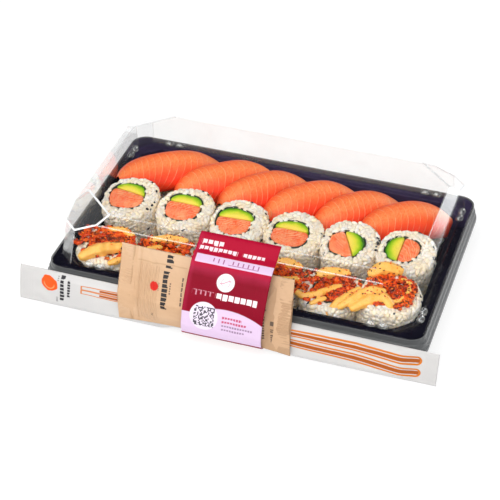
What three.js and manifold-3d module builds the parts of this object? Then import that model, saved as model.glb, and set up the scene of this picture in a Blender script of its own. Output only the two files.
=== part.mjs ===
// A takeaway sushi pack: a black moulded tray under a clear faceted lid, with six salmon
// nigiri, six rolls showing their cut ends and six rolls dressed with spicy mayonnaise.
// A printed band holds a sauce sachet and a packet of chopsticks against the front.
// Millimetres. +X runs along the long side, +Y to the back, +Z up, and z = 0 is the table.

import * as THREE from 'three';
import { ConvexGeometry } from 'three/addons/geometries/ConvexGeometry.js';
import { mergeVertices } from 'three/addons/utils/BufferGeometryUtils.js';
import Module from 'manifold-3d';

const wasm = await Module();
wasm.setup();

// ---------------------------------------------------------------- driving dimensions

const GAP = 0.3; // clearance between pieces that touch

const TRAY_LENGTH = 232;
const TRAY_WIDTH = 158;
const RIM_HEIGHT = 24;
const RIM_WIDTH = 5; // flat top of the rim
const LEDGE_WIDTH = 3.2; // lower step inside the rim
const LEDGE_DROP = 1.6;
const WALL_DRAFT = 0.5; // how far the wall leans in from ledge to floor
const FLOOR_HEIGHT = 3; // top of the raised floor panel
const GROOVE_WIDTH = 6; // channel round the floor, whose underside is the foot
const TRAY_SKIN = 1;
const TRAY_CORNER = 9;
const CAVITY_CORNER = 14; // straight-cut corners inside the rim
const SKIRT_DROP = 10;

const LID_FOOT_INSET = 4.2; // wall foot to the rim's outer edge
const LID_FOOT_CUT = 8.4; // upright corner facet at the wall foot
const LID_SHOULDER_RISE = 27.3; // rim to shoulder crease
const LID_SHOULDER_INSET_X = 4.9;
const LID_SHOULDER_INSET_Y = 11.2;
const LID_BEVEL_WIDTH = 6.7; // shoulder crease to flat top
const LID_BEVEL_RISE = 4.7;
const LID_SKIN = 0.6;
const LID_NOTCH_REACH = 22.5; // corner facet along the shoulder crease
const LID_NOTCH_SLOPE = 28; // degrees from level
const LID_SKIRT_DROP = 12.6;
const LID_SKIRT_STEPS = 3;
const LID_SKIRT_STEP = 1.1; // how far each ridge of the skirt stands out
const LUG_RADIUS = 3.4;
const LUG_SPACING = 7.5;

const ROLL_HALF_WIDTH = 18.1; // rolls are pressed a little flat against each other
const ROLL_HALF_DEPTH = 19.2;
const FILLING_HALF_WIDTH = 12.7;
const FILLING_HALF_DEPTH = 12.6;
const NORI_THICKNESS = 0.5;
const RICE_BUMP = 0.45; // half height of the grain relief
const SEED_LENGTH = 3.2;
const SEED_COUNT = 4;

const MIDDLE_LENGTH = 24;
const MIDDLE_TILT = 11; // degrees, cut ends leaning to the front
const FRONT_LENGTH = 21.5;
const FRONT_TILT = 5;
const SAUCE_RADIUS = 3.4;
const SAUCE_LIFT = 0.7; // sauce's underside above the cut rice

const LOAF_LENGTH = 62;
const NIGIRI_TURN = 40; // degrees from the long side
const NIGIRI_LEAN = 28; // degrees, broad faces towards the front
const SLICE_HALF_WIDTH = 14.2;
const SLICE_ARCH = 9.5; // crest above the line between the slice's sides
const SLICE_THICKNESS = 4.8;
const SLICE_MIDDLE_HEIGHT = 19.5; // that line's middle above the floor

const PACKET_LENGTH = 260;
const PACKET_HEIGHT = 21;
const PACKET_THICKNESS = 4.6;
const PACKET_BACK_Y = -84.4;
const PACKET_LEAN = 3.2; // how far its top stands behind its foot
const PACKET_SEAL = 11; // flat crimped end
const PACKET_LIFT = 2.5;

const SACHET_LENGTH = 107;
const SACHET_BULGE = 3.4;
const SACHET_SEAL = 9;
const SACHET_CENTRE_X = -13.6;
const SACHET_TUCK = 2.8; // how far the label pulls its lower edge up
const SACHET_SHEAR = 4.4; // its lower edge is shifted to the right of the upper one

const LABEL_WIDTH = 49.5;
const LABEL_THICKNESS = 0.3;
const LABEL_CENTRE_X = 0.1;
const LABEL_TAIL = 14; // length past the foot, under the tray
const LABEL_PASS = 0.7;

// ---------------------------------------------------------------- colours

const finish = (color, roughness) => new THREE.MeshStandardMaterial({ color, roughness, metalness: 0 });
const BLACK_PLASTIC = finish(0x0b0d16, 0.25);
const CLEAR_PLASTIC = new THREE.MeshStandardMaterial({
  color: 0xf4f6f6,
  roughness: 0.05,
  metalness: 0,
  transparent: true,
  opacity: 0.25,
});
const RICE_WHITE = finish(0xe6e0cc, 0.6);
const SALMON_ORANGE = finish(0xf4794e, 0.35);
const AVOCADO_GREEN = finish(0xb9c13c, 0.45);
const NORI_BLACK = finish(0x1d2a26, 0.5);
const SPICY_ORANGE = finish(0xf79a3c, 0.3);
const KRAFT_TAN = finish(0xdcb488, 0.7);
const PACKET_WHITE = finish(0xeeeeee, 0.5);
const LABEL_CRIMSON = finish(0xb01c4b, 0.45);

// ---------------------------------------------------------------- small helpers

const radians = THREE.MathUtils.degToRad;

// Repeatable draws between 0 and 1, a stream for each seed.
function seededDraw(seed) {
  let state = seed * 2654435761;
  return () => {
    state = (state + 0x6d2b79f5) | 0;
    let mixed = Math.imul(state ^ (state >>> 15), 1 | state);
    mixed = (mixed + Math.imul(mixed ^ (mixed >>> 7), 61 | mixed)) ^ mixed;
    return ((mixed ^ (mixed >>> 14)) >>> 0) / 4294967296;
  };
}

function signedVolume(geometry) {
  const corner = [new THREE.Vector3(), new THREE.Vector3(), new THREE.Vector3()];
  const { position } = geometry.attributes;
  let volume = 0;
  for (let i = 0; i < geometry.index.count; i += 3) {
    corner.forEach((point, k) => point.fromBufferAttribute(position, geometry.index.getX(i + k)));
    volume += corner[0].dot(corner[1].clone().cross(corner[2])) / 6;
  }
  return volume;
}

// A body from points and triangles, turned so that its faces point out.
function closedBody(points, triangles) {
  const geometry = new THREE.BufferGeometry();
  geometry.setAttribute('position', new THREE.Float32BufferAttribute(points.flatMap((p) => p.toArray()), 3));
  geometry.setIndex(triangles);
  if (signedVolume(geometry) < 0) {
    const flipped = [];
    for (let i = 0; i < triangles.length; i += 3) {
      flipped.push(triangles[i], triangles[i + 2], triangles[i + 1]);
    }
    geometry.setIndex(flipped);
  }
  return geometry;
}

// Triangles between rings of equal point count, which share one list of points.
function ringWalls(ringCount, count, closed) {
  const triangles = [];
  for (let r = 0; r < (closed ? ringCount : ringCount - 1); r += 1) {
    const next = (r + 1) % ringCount;
    for (let i = 0; i < count; i += 1) {
      const j = (i + 1) % count;
      triangles.push(r * count + i, r * count + j, next * count + j);
      triangles.push(r * count + i, next * count + j, next * count + i);
    }
  }
  return triangles;
}

// A body round a hole: its last ring is joined to its first.
const loopBody = (rings) => closedBody(rings.flat(), ringWalls(rings.length, rings[0].length, true));

// A body whose two end rings are capped from their middles.
function loftBody(rings) {
  const count = rings[0].length;
  const points = rings.flat();
  const triangles = ringWalls(rings.length, count, false);
  for (const ring of [0, rings.length - 1]) {
    points.push(rings[ring].reduce((sum, p) => sum.add(p), new THREE.Vector3()).divideScalar(count));
    for (let i = 0; i < count; i += 1) {
      const pair = [ring * count + i, ring * count + ((i + 1) % count)];
      triangles.push(points.length - 1, ...(ring > 0 ? pair : pair.reverse()));
    }
  }
  return closedBody(points, triangles);
}

// A sheet whose rings run out along one face and back along the other, so that each end
// is capped by a strip between the two.
function sheetBody(rings) {
  const count = rings[0].length;
  const triangles = ringWalls(rings.length, count, false);
  for (const ring of [0, rings.length - 1]) {
    for (let i = 0; i < count / 2 - 1; i += 1) {
      const [a, b, c, d] = [i, i + 1, count - 2 - i, count - 1 - i].map((k) => ring * count + k);
      triangles.push(...(ring > 0 ? [a, b, c, a, c, d] : [c, b, a, d, c, a]));
    }
  }
  return closedBody(rings.flat(), triangles);
}

function toManifold(geometry) {
  const bare = geometry.clone();
  bare.deleteAttribute('normal');
  bare.deleteAttribute('uv');
  const merged = mergeVertices(bare, 1e-4);
  return new wasm.Manifold(new wasm.Mesh({
    numProp: 3,
    vertProperties: new Float32Array(merged.attributes.position.array),
    triVerts: new Uint32Array(merged.index.array),
  }));
}

function fromManifold(solid) {
  const mesh = solid.getMesh();
  const geometry = new THREE.BufferGeometry();
  geometry.setAttribute('position', new THREE.Float32BufferAttribute(mesh.vertProperties, 3));
  geometry.setIndex([...mesh.triVerts]);
  return geometry;
}

const fuse = (geometries) => fromManifold(geometries.map(toManifold).reduce((all, one) => all.add(one)));

const cutAway = (body, tool) => fromManifold(toManifold(body).subtract(toManifold(tool)));

const pack = new THREE.Group();

function addPiece(name, geometry, material, parent = pack) {
  const mesh = new THREE.Mesh(geometry, material);
  mesh.name = name;
  parent.add(mesh);
  return mesh;
}

// A rectangle's outline at height z whose corners are arcs (flatness 0) or straight cuts
// (flatness 1) that reach the given distance along each side.
function trayOutline(inset, z, cornerReach, flatness = 0, arcSteps = 4) {
  const halfX = TRAY_LENGTH / 2 - inset;
  const halfY = TRAY_WIDTH / 2 - inset;
  const reach = Math.max(cornerReach, 0.5);
  const points = [];
  for (const [sx, sy, start] of [[1, 1, 0], [-1, 1, 90], [-1, -1, 180], [1, -1, 270]]) {
    const centre = new THREE.Vector3(sx * (halfX - reach), sy * (halfY - reach), z);
    const onArc = (share) => {
      const turn = radians(start + 90 * share);
      return new THREE.Vector3(Math.cos(turn) * reach, Math.sin(turn) * reach, 0).add(centre);
    };
    for (let i = 0; i <= arcSteps; i += 1) {
      const straight = onArc(0).lerp(onArc(1), i / arcSteps);
      points.push(onArc(i / arcSteps).lerp(straight, flatness));
    }
  }
  return points;
}

// ---------------------------------------------------------------- tray

const LEDGE_INSET = RIM_WIDTH + 0.5;
const WALL_INSET = LEDGE_INSET + LEDGE_WIDTH;
const FOOT_INSET = WALL_INSET + WALL_DRAFT;
const PANEL_INSET = FOOT_INSET + GROOVE_WIDTH;
const GROOVE_HEIGHT = 1.2;
const EDGE_ROUND = 0.7;

// Stations from the floor panel out over the rim and back under to the panel's underside.
function trayGeometry() {
  const stations = [
    [PANEL_INSET + 2, FLOOR_HEIGHT, 0.9],
    [PANEL_INSET, FLOOR_HEIGHT - 0.3, 0.9],
    [PANEL_INSET - 1.5, GROOVE_HEIGHT, 0.9],
    [FOOT_INSET + 1.2, GROOVE_HEIGHT, 0.9],
    [FOOT_INSET, GROOVE_HEIGHT + 1.4, 0.9],
    [WALL_INSET, RIM_HEIGHT - LEDGE_DROP - EDGE_ROUND, 0.9],
    [WALL_INSET - EDGE_ROUND, RIM_HEIGHT - LEDGE_DROP, 0.9],
    [LEDGE_INSET, RIM_HEIGHT - LEDGE_DROP, 0.9],
    [RIM_WIDTH, RIM_HEIGHT, 0.9],
    [EDGE_ROUND, RIM_HEIGHT, 0],
    [0, RIM_HEIGHT - EDGE_ROUND, 0],
    [-0.2, RIM_HEIGHT - SKIRT_DROP, 0],
    [TRAY_SKIN - 0.2, RIM_HEIGHT - SKIRT_DROP, 0],
    [TRAY_SKIN, RIM_HEIGHT - TRAY_SKIN, 0],
    [RIM_WIDTH + 0.3, RIM_HEIGHT - TRAY_SKIN, 0.9],
    [LEDGE_INSET + 0.4, RIM_HEIGHT - LEDGE_DROP - TRAY_SKIN, 0.9],
    [WALL_INSET - TRAY_SKIN, RIM_HEIGHT - LEDGE_DROP - TRAY_SKIN, 0.9],
    [FOOT_INSET - TRAY_SKIN, GROOVE_HEIGHT + 0.6, 0.9],
    [FOOT_INSET + 0.4, 0, 0.9],
    [PANEL_INSET - 1, 0, 0.9],
    [PANEL_INSET + 0.6, FLOOR_HEIGHT - TRAY_SKIN - 0.2, 0.9],
    [PANEL_INSET + 2.4, FLOOR_HEIGHT - TRAY_SKIN, 0.9],
  ];
  const rings = stations.map(([inset, z, flatness]) => {
    const reach = flatness > 0 ? CAVITY_CORNER - inset * 0.3 : TRAY_CORNER - inset;
    return trayOutline(inset, z, reach, flatness);
  });
  // The foot has a shallow pass for the label's tail.
  const pass = new THREE.BoxGeometry(LABEL_WIDTH + 4, GROOVE_WIDTH + 6, 2 * LABEL_PASS);
  pass.translate(LABEL_CENTRE_X, -(TRAY_WIDTH / 2 - FOOT_INSET - 1), 0);
  return cutAway(loftBody(rings), pass);
}

// ---------------------------------------------------------------- lid

const FLANGE_UNDERSIDE = RIM_HEIGHT + GAP;
const SHOULDER_HEIGHT = RIM_HEIGHT + LID_SHOULDER_RISE;
const LID_TOP = SHOULDER_HEIGHT + LID_BEVEL_RISE;

// The lid's outer face, or its inner one when it is drawn in by the skin.
function lidForm(skin, footHeight) {
  const levels = [
    [LID_FOOT_INSET, LID_FOOT_INSET, footHeight, LID_FOOT_CUT],
    [LID_SHOULDER_INSET_X, LID_SHOULDER_INSET_Y, SHOULDER_HEIGHT - skin * 0.7, LID_FOOT_CUT + 0.6],
    [
      LID_SHOULDER_INSET_X + LID_BEVEL_WIDTH,
      LID_SHOULDER_INSET_Y + LID_BEVEL_WIDTH,
      LID_TOP - skin,
      LID_FOOT_CUT + 2,
    ],
  ];
  const points = [];
  for (const [insetX, insetY, z, cut] of levels) {
    const halfX = TRAY_LENGTH / 2 - insetX - skin;
    const halfY = TRAY_WIDTH / 2 - insetY - skin;
    for (const sx of [-1, 1]) {
      for (const sy of [-1, 1]) {
        points.push(new THREE.Vector3(sx * (halfX - cut), sy * halfY, z));
        points.push(new THREE.Vector3(sx * halfX, sy * (halfY - cut), z));
      }
    }
  }
  let form = new ConvexGeometry(points);
  for (const sx of [-1, 1]) {
    for (const sy of [-1, 1]) {
      form = cutAway(form, cornerWedge(sx, sy, skin));
    }
  }
  return form;
}

// A block whose lower face is the sloping facet of one lid corner.
function cornerWedge(sx, sy, skin) {
  const size = 80;
  const block = new THREE.BoxGeometry(size, size, size);
  block.translate(0, 0, size / 2 - skin);
  block.rotateY(radians(LID_NOTCH_SLOPE));
  block.rotateZ(Math.atan2(sy, sx));
  block.translate(
    sx * (TRAY_LENGTH / 2 - LID_SHOULDER_INSET_X - LID_NOTCH_REACH / 2),
    sy * (TRAY_WIDTH / 2 - LID_SHOULDER_INSET_Y - LID_NOTCH_REACH / 2),
    SHOULDER_HEIGHT,
  );
  return block;
}

// The flange on the tray's rim with the ridged skirt that hangs over the rim's edge.
function lidFlange() {
  const outer = [[-0.9, FLANGE_UNDERSIDE + LID_SKIN]];
  const stepDrop = (LID_SKIRT_DROP - 1) / LID_SKIRT_STEPS;
  for (let step = 0; step < LID_SKIRT_STEPS; step += 1) {
    const inset = -1.1 - step * LID_SKIRT_STEP;
    const top = RIM_HEIGHT - 0.4 - step * stepDrop;
    outer.push([inset, top]);
    outer.push([inset - 0.2, top - stepDrop + 0.5]);
  }
  const inner = outer.map(([inset, z]) => [inset + LID_SKIN, z - 0.25]).reverse();
  inner[inner.length - 1] = [-0.3, FLANGE_UNDERSIDE];
  const foot = [[LID_FOOT_INSET + 2, FLANGE_UNDERSIDE], [LID_FOOT_INSET + 2, FLANGE_UNDERSIDE + LID_SKIN]];
  const section = [...outer, ...inner, ...foot];
  const rings = section.map(([inset, z]) => {
    const inFoot = inset > LID_FOOT_INSET;
    return trayOutline(inset, z, inFoot ? LID_FOOT_CUT + 2 : TRAY_CORNER - inset, inFoot ? 1 : 0);
  });
  return loopBody(rings);
}

// Snap lugs are pairs of small domes at the foot of the walls, two on each corner.
function lidLugs() {
  const lugs = [];
  const alongX = TRAY_WIDTH / 2 - LID_FOOT_INSET - 1;
  const alongY = TRAY_LENGTH / 2 - LID_FOOT_INSET - 0.6;
  for (const sx of [-1, 1]) {
    for (const sy of [-1, 1]) {
      for (const side of [-0.5, 0.5]) {
        const dome = new THREE.SphereGeometry(LUG_RADIUS, 6, 4);
        const onShortWall = dome.clone().scale(0.75, 1.1, 0.9);
        onShortWall.translate(sx * alongY, sy * 56 + side * LUG_SPACING, FLANGE_UNDERSIDE + 0.6);
        const onLongWall = dome.clone().scale(1.1, 0.75, 0.9);
        onLongWall.translate(sx * 88 + side * LUG_SPACING, sy * alongX, FLANGE_UNDERSIDE + 0.6);
        lugs.push(onShortWall, onLongWall);
      }
    }
  }
  const below = new THREE.BoxGeometry(TRAY_LENGTH + 20, TRAY_WIDTH + 20, 10);
  below.translate(0, 0, FLANGE_UNDERSIDE - 5);
  return cutAway(fuse(lugs), below);
}

function lidGeometry() {
  const shell = fuse([lidForm(0, FLANGE_UNDERSIDE), lidFlange(), lidLugs()]);
  return cutAway(shell, lidForm(LID_SKIN, FLANGE_UNDERSIDE - 2));
}

// ---------------------------------------------------------------- rolls

const RING_STEPS = 16;

// A point round a roll: an oval with slightly squared shoulders.
function ovalPoint(turn, halfWidth, halfDepth, z) {
  const squareness = 1 - 0.025 * Math.cos(4 * turn);
  return new THREE.Vector3(
    Math.cos(turn) * halfWidth * squareness,
    Math.sin(turn) * halfDepth * squareness,
    z,
  );
}

function ovalRing(halfWidth, halfDepth, z, unevenness = () => 0) {
  return Array.from({ length: RING_STEPS }, (_, i) => {
    const turn = (i / RING_STEPS) * 2 * Math.PI;
    const change = unevenness();
    return ovalPoint(turn, halfWidth + change, halfDepth + change, z + change * 0.5);
  });
}

// The filling's outline, drawn in by an inset. It is seldom in the middle of its roll.
function fillingRing(roll, inset, z) {
  const halfWidth = FILLING_HALF_WIDTH * roll.size - inset;
  const halfDepth = FILLING_HALF_DEPTH * roll.size - inset;
  const ring = ovalRing(halfWidth, halfDepth, z);
  return ring.map((p) => p.add(new THREE.Vector3(...roll.shift, 0)));
}

// Rice packed round the filling, with relief of grain size, and sesame pressed into it.
function riceRing(length, roll, draw) {
  const uneven = () => RICE_BUMP * (2 * draw() - 1);
  const width = ROLL_HALF_WIDTH - RICE_BUMP;
  const depth = ROLL_HALF_DEPTH - RICE_BUMP;
  const rings = [
    ovalRing(width - 0.8, depth - 0.8, 0),
    ovalRing(width, depth, length * 0.1, uneven),
    ovalRing(width, depth, length * 0.5, uneven),
    ovalRing(width - 0.2, depth - 0.2, length * 0.9, uneven),
    ovalRing(width - 1.3, depth - 1.3, length, uneven),
  ];
  const rim = ovalRing(width - 1.3, depth - 1.3, length);
  const mouth = fillingRing(roll, 0, length);
  const crest = rim.map((p, i) => p.lerp(mouth[i], 0.5).setZ(length + 0.3 + 0.5 * uneven()));
  rings.push(crest, mouth, fillingRing(roll, 0, 0));
  const seeds = [];
  for (let s = 0; s < SEED_COUNT; s += 1) {
    const turn = radians(-160 + (320 * (s + 0.6 * draw())) / SEED_COUNT);
    const seed = new THREE.IcosahedronGeometry(SEED_LENGTH / 2, 0);
    seed.scale(0.45, 0.6, 1);
    seed.rotateX(radians(60 * (draw() - 0.5)));
    seed.rotateZ(turn);
    const seat = ovalPoint(turn, ROLL_HALF_WIDTH - 1.2, ROLL_HALF_DEPTH - 1.2, 0);
    seed.translate(seat.x, seat.y, length * (0.45 + 0.4 * draw()));
    seeds.push(seed);
  }
  return fuse([loopBody(rings), ...seeds]);
}

function noriTube(length, roll) {
  const inner = GAP + NORI_THICKNESS;
  const section = [[GAP, 0.2], [GAP, length + 0.2], [inner, length + 0.2], [inner, 0.2]];
  return loopBody(section.map(([inset, z]) => fillingRing(roll, inset, z)));
}

// The part of a convex outline beyond a line at the given turn and offset.
function clipOutline(points, turn, offset) {
  const normal = new THREE.Vector2(Math.cos(turn), Math.sin(turn));
  const kept = [];
  points.forEach((point, i) => {
    const next = points[(i + 1) % points.length];
    const here = point.dot(normal) - offset;
    const there = next.dot(normal) - offset;
    if (here >= 0) {
      kept.push(point);
    }
    if (here * there < 0) {
      kept.push(point.clone().lerp(next, here / (here - there)));
    }
  });
  return kept;
}

// One part of the filling, beyond its parting line, as a bar that runs through the roll.
function fillingBar(length, roll, turn, offset) {
  const ring = fillingRing({ ...roll, shift: [0, 0] }, 2 * GAP + NORI_THICKNESS, 0);
  const outline = clipOutline(ring.map((p) => new THREE.Vector2(p.x, p.y)), turn, offset);
  const shape = new THREE.Shape(outline);
  const bar = new THREE.ExtrudeGeometry(shape, { depth: length - 0.3, bevelEnabled: false });
  return bar.translate(...roll.shift, 0.3);
}

// Every roll's place in its row, its lean to the side in degrees, and its filling's shift
// and size. In the middle row, also the turn in degrees from the salmon to the avocado, and
// how far their parting line is from the filling's middle.
const MIDDLE_ROLLS = [
  { x: -88.9, y: 0.8, lean: -5, shift: [-2.5, 1.3], size: 1, parting: 77, offset: 4.2 },
  { x: -53.2, y: 1.2, lean: -3, shift: [-1.2, 0.8], size: 0.98, parting: 85, offset: 3.7 },
  { x: -17.6, y: -0.8, lean: -1, shift: [-2.6, -1], size: 1, parting: 91, offset: 2.8 },
  { x: 18, y: -1.6, lean: 0, shift: [-2, -1], size: 0.98, parting: 90, offset: 3.2 },
  { x: 53.7, y: 0.2, lean: 0, shift: [-1.8, -1.4], size: 0.94, parting: 27, offset: 1.2 },
  { x: 89, y: 1.8, lean: -1, shift: [-2.9, 1.6], size: 0.9, parting: 178, offset: 0.5 },
];

const FRONT_ROLLS = [
  { x: -88, y: -49.8, lean: -2, shift: [0, 0], size: 0.9, extra: 0 },
  { x: -52.6, y: -49.6, lean: 0, shift: [1, 0], size: 0.9, extra: 0.6 },
  { x: -17.1, y: -49.4, lean: 0, shift: [0, 0], size: 0.9, extra: -0.4 },
  { x: 18.4, y: -49.6, lean: 0, shift: [-1, 0], size: 0.9, extra: 0.4 },
  { x: 53.9, y: -49, lean: 0, shift: [0, 0], size: 0.9, extra: 0 },
  { x: 88.5, y: -47, lean: 4.6, shift: [1, 0], size: 0.9, extra: 4.5 },
];

function rollHolder(roll, tilt) {
  const holder = new THREE.Group();
  const front = ROLL_HALF_DEPTH * Math.sin(radians(tilt));
  const side = ROLL_HALF_WIDTH * Math.sin(radians(Math.abs(roll.lean)));
  holder.position.set(roll.x, roll.y, FLOOR_HEIGHT + GAP + Math.hypot(front, side));
  holder.rotation.set(radians(tilt), radians(roll.lean), 0, 'YXZ');
  pack.add(holder);
  return holder;
}

function addMiddleRoll(index, roll) {
  const name = `roll_${index + 1}`;
  const draw = seededDraw(11 + index);
  const holder = rollHolder(roll, MIDDLE_TILT);
  const turn = radians(roll.parting);
  const avocado = fillingBar(MIDDLE_LENGTH, roll, turn, roll.offset + GAP / 2);
  const salmon = fillingBar(MIDDLE_LENGTH, roll, turn + Math.PI, GAP / 2 - roll.offset);
  addPiece(`${name}_rice`, riceRing(MIDDLE_LENGTH, roll, draw), RICE_WHITE, holder);
  addPiece(`${name}_nori`, noriTube(MIDDLE_LENGTH, roll), NORI_BLACK, holder);
  addPiece(`${name}_avocado`, avocado, AVOCADO_GREEN, holder);
  addPiece(`${name}_salmon`, salmon, SALMON_ORANGE, holder);
}

// Thick stripes of spicy mayonnaise across the cut end: where each one's middle lies,
// as shares of the roll's half sizes, its length and its thickness.
const SAUCE_STRIPES = [
  { x: -0.18, y: -0.62, length: 0.95, thick: 1.05 },
  { x: 0.22, y: -0.26, length: 1.05, thick: 1 },
  { x: -0.3, y: -0.12, length: 0.8, thick: 0.85 },
  { x: -0.06, y: 0.62, length: 0.55, thick: 1.15 },
];

// The sauce, and a heap of chilli seasoning, on the end of the filling that carries them.
function dressedFilling(length, roll, draw) {
  const base = length + SAUCE_LIFT;
  const dressing = SAUCE_STRIPES.map((stripe) => {
    const straight = ROLL_HALF_WIDTH * stripe.length;
    const body = new THREE.CapsuleGeometry(SAUCE_RADIUS * stripe.thick, straight, 2, 6);
    body.rotateZ(Math.PI / 2 + radians(22 + 14 * draw()));
    body.scale(1, 1, 0.85);
    body.translate(
      (stripe.x + 0.1 * (draw() - 0.5)) * ROLL_HALF_WIDTH,
      (stripe.y + 0.1 * (draw() - 0.5)) * ROLL_HALF_DEPTH,
      base,
    );
    return body;
  });
  const seasoning = new THREE.IcosahedronGeometry(1, 1);
  seasoning.scale(ROLL_HALF_WIDTH * 0.62, ROLL_HALF_DEPTH * 0.3, 3.2);
  seasoning.rotateZ(radians(18));
  seasoning.translate(ROLL_HALF_WIDTH * 0.12, ROLL_HALF_DEPTH * 0.22, base);
  const below = new THREE.BoxGeometry(6 * ROLL_HALF_WIDTH, 6 * ROLL_HALF_WIDTH, 40);
  below.translate(0, 0, base - 20);
  const bar = fillingBar(length + SAUCE_LIFT + 0.6, roll, 0, -ROLL_HALF_WIDTH);
  return fuse([bar, cutAway(fuse([...dressing, seasoning]), below)]);
}

function addFrontRoll(index, roll) {
  const name = `dressed_roll_${index + 1}`;
  const draw = seededDraw(31 + index);
  const length = FRONT_LENGTH + roll.extra;
  const holder = rollHolder(roll, FRONT_TILT);
  addPiece(`${name}_rice`, riceRing(length, roll, draw), RICE_WHITE, holder);
  addPiece(`${name}_nori`, noriTube(length, roll), NORI_BLACK, holder);
  addPiece(`${name}_topping`, dressedFilling(length, roll, draw), SPICY_ORANGE, holder);
}

// ---------------------------------------------------------------- nigiri

const LEAN = radians(NIGIRI_LEAN);

// A point of a nigiri's cross section, a share along it from -1 at the front tip to 1. Each
// section is an arch that leans to the front, gets narrower towards both ends and droops
// there. The arch runs from its upper side at turn 180 to its lower side at turn 0.
function archPoint(nigiri, along, turn, halfWidth, arch) {
  const narrowing = Math.sqrt(1 - 0.94 * Math.abs(along) ** 3.4);
  const across = halfWidth * narrowing * Math.cos(turn);
  const rise = arch * Math.sin(turn);
  const droop = along < 0 ? nigiri.droop[0] : nigiri.droop[1];
  const sag = droop * (0.8 * along ** 2 + 0.2 * along ** 4);
  return new THREE.Vector3(
    (along * nigiri.length) / 2,
    -(across * Math.cos(LEAN) + rise * Math.sin(LEAN)),
    SLICE_MIDDLE_HEIGHT - across * Math.sin(LEAN) + rise * Math.cos(LEAN) - sag,
  );
}

function span(from, to, steps) {
  return Array.from({ length: steps + 1 }, (_, i) => from + ((to - from) * i) / steps);
}

function salmonSlice(nigiri, draw) {
  const wave = 2 * Math.PI * draw();
  const rings = span(-1, 1, 10).map((along) => {
    const thin = 1 - 0.3 * along ** 2;
    const inside = SLICE_ARCH - SLICE_THICKNESS * thin;
    const sway = 0.5 * Math.sin(4 * along + wave);
    const onArch = (turn, halfWidth, arch) => archPoint(nigiri, along, radians(turn), halfWidth, arch);
    const outer = span(176, 4, 6).map((turn) => onArch(turn, SLICE_HALF_WIDTH, SLICE_ARCH));
    const inner = span(8, 172, 6).map((turn) => onArch(turn, SLICE_HALF_WIDTH - 1, inside));
    return [...outer, ...inner].map((p) => p.setY(p.y + sway));
  });
  return sheetBody(rings);
}

// A pressed loaf of rice under the slice, down to the floor.
function riceLoaf(nigiri, draw) {
  const lengthwise = [-0.62, -0.54, -0.3, 0, 0.35, 0.7, 0.8];
  const rings = lengthwise.map((share, i) => {
    const along = (share * LOAF_LENGTH) / nigiri.length;
    const end = i === 0 || i === lengthwise.length - 1 ? 1 : 0;
    const top = SLICE_ARCH - SLICE_THICKNESS - 1.1 - end;
    const crown = span(174, 6, 5).map((turn) => {
      const point = archPoint(nigiri, along, radians(turn), 9.8 - 2.5 * end, top);
      return point.setZ(point.z - RICE_BUMP * draw() - 1.2 * end);
    });
    const x = (share * LOAF_LENGTH) / 2;
    const halfBase = 6.6 - 1.6 * end;
    const side = SLICE_MIDDLE_HEIGHT / 2 - 2;
    const base = [[1.15, side * 0.6], [0.9, end], [0, end * 0.9], [-0.9, end], [-1.2, side]];
    return [...crown, ...base.map(([out, z]) => new THREE.Vector3(x, -halfBase * out, z))];
  });
  return loftBody(rings);
}

// Where each nigiri's middle is, its turn from the regular one, its lift off the floor,
// how far its front and back tips droop, and its slice's length.
const NIGIRI = [
  { x: -80.6, y: 44, turn: -1, lift: 1.3, droop: [2.4, 11], length: 74 },
  { x: -45.6, y: 44.8, turn: 0, lift: 0, droop: [8, 5], length: 66 },
  { x: -16, y: 42.4, turn: 2, lift: 0, droop: [7.5, 8.5], length: 64 },
  { x: 15, y: 40.5, turn: 0, lift: 0, droop: [8.5, 6], length: 64 },
  { x: 48.1, y: 40.4, turn: 0, lift: 0, droop: [8.5, 10], length: 64 },
  { x: 79, y: 39.4, turn: 0, lift: 0, droop: [4, 10.5], length: 64 },
];

function addNigiri(index, nigiri) {
  const name = `nigiri_${index + 1}`;
  const draw = seededDraw(51 + index);
  const holder = new THREE.Group();
  holder.position.set(nigiri.x, nigiri.y, FLOOR_HEIGHT + GAP + nigiri.lift);
  holder.rotation.z = radians(NIGIRI_TURN + nigiri.turn);
  pack.add(holder);
  addPiece(`${name}_rice`, riceLoaf(nigiri, draw), RICE_WHITE, holder);
  addPiece(`${name}_salmon`, salmonSlice(nigiri, draw), SALMON_ORANGE, holder);
}

// ---------------------------------------------------------------- chopsticks and sachet

// A flat film packet on its long edge: pressed flat at both ends, filled between them. The
// band lifts its lower edge in the middle.
function packetGeometry() {
  const underBand = [0.34, 0.395, 0.5, 0.605, 0.66];
  const stations = [0, 0.012, PACKET_SEAL / PACKET_LENGTH, 0.075, ...underBand, 0.925];
  const shares = [...stations, 1 - PACKET_SEAL / PACKET_LENGTH, 0.988, 1];
  const rings = shares.map((share) => {
    const nearEnd = Math.min(share, 1 - share) * PACKET_LENGTH;
    const fullness = THREE.MathUtils.smoothstep(nearEnd, PACKET_SEAL * 0.9, PACKET_SEAL + 12);
    const thickness = 0.9 + (PACKET_THICKNESS - 0.9) * fullness;
    const height = PACKET_HEIGHT + (1 - share) * 2;
    const lift = PACKET_LIFT * (1 - THREE.MathUtils.smoothstep(Math.abs(share - 0.5), 0.11, 0.155));
    const front = [[0, 0.1], [0.15, 0.9], [0.5, 1], [0.85, 0.9], [1, 0.1]];
    const back = [[1, 0], [0.5, 0], [0, 0]];
    return [...front, ...back].map(([rise, swell]) => new THREE.Vector3(
      (share - 0.5) * PACKET_LENGTH - 1.5,
      PACKET_BACK_Y - PACKET_LEAN * (1 - rise) - thickness * swell * 0.98 - 0.02,
      0.9 + lift * (1 - rise) + rise * height,
    ));
  });
  return loftBody(rings);
}

// Route of the sachet's back face, from its lower edge up over the packet to the lid.
const SACHET_ROUTE = [[-92.6, 5.2], [-92.6, 13], [-91.3, 22], [-85.4, 30.2], [-79.8, 38.6], [-74.6, 46.8]];

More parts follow.
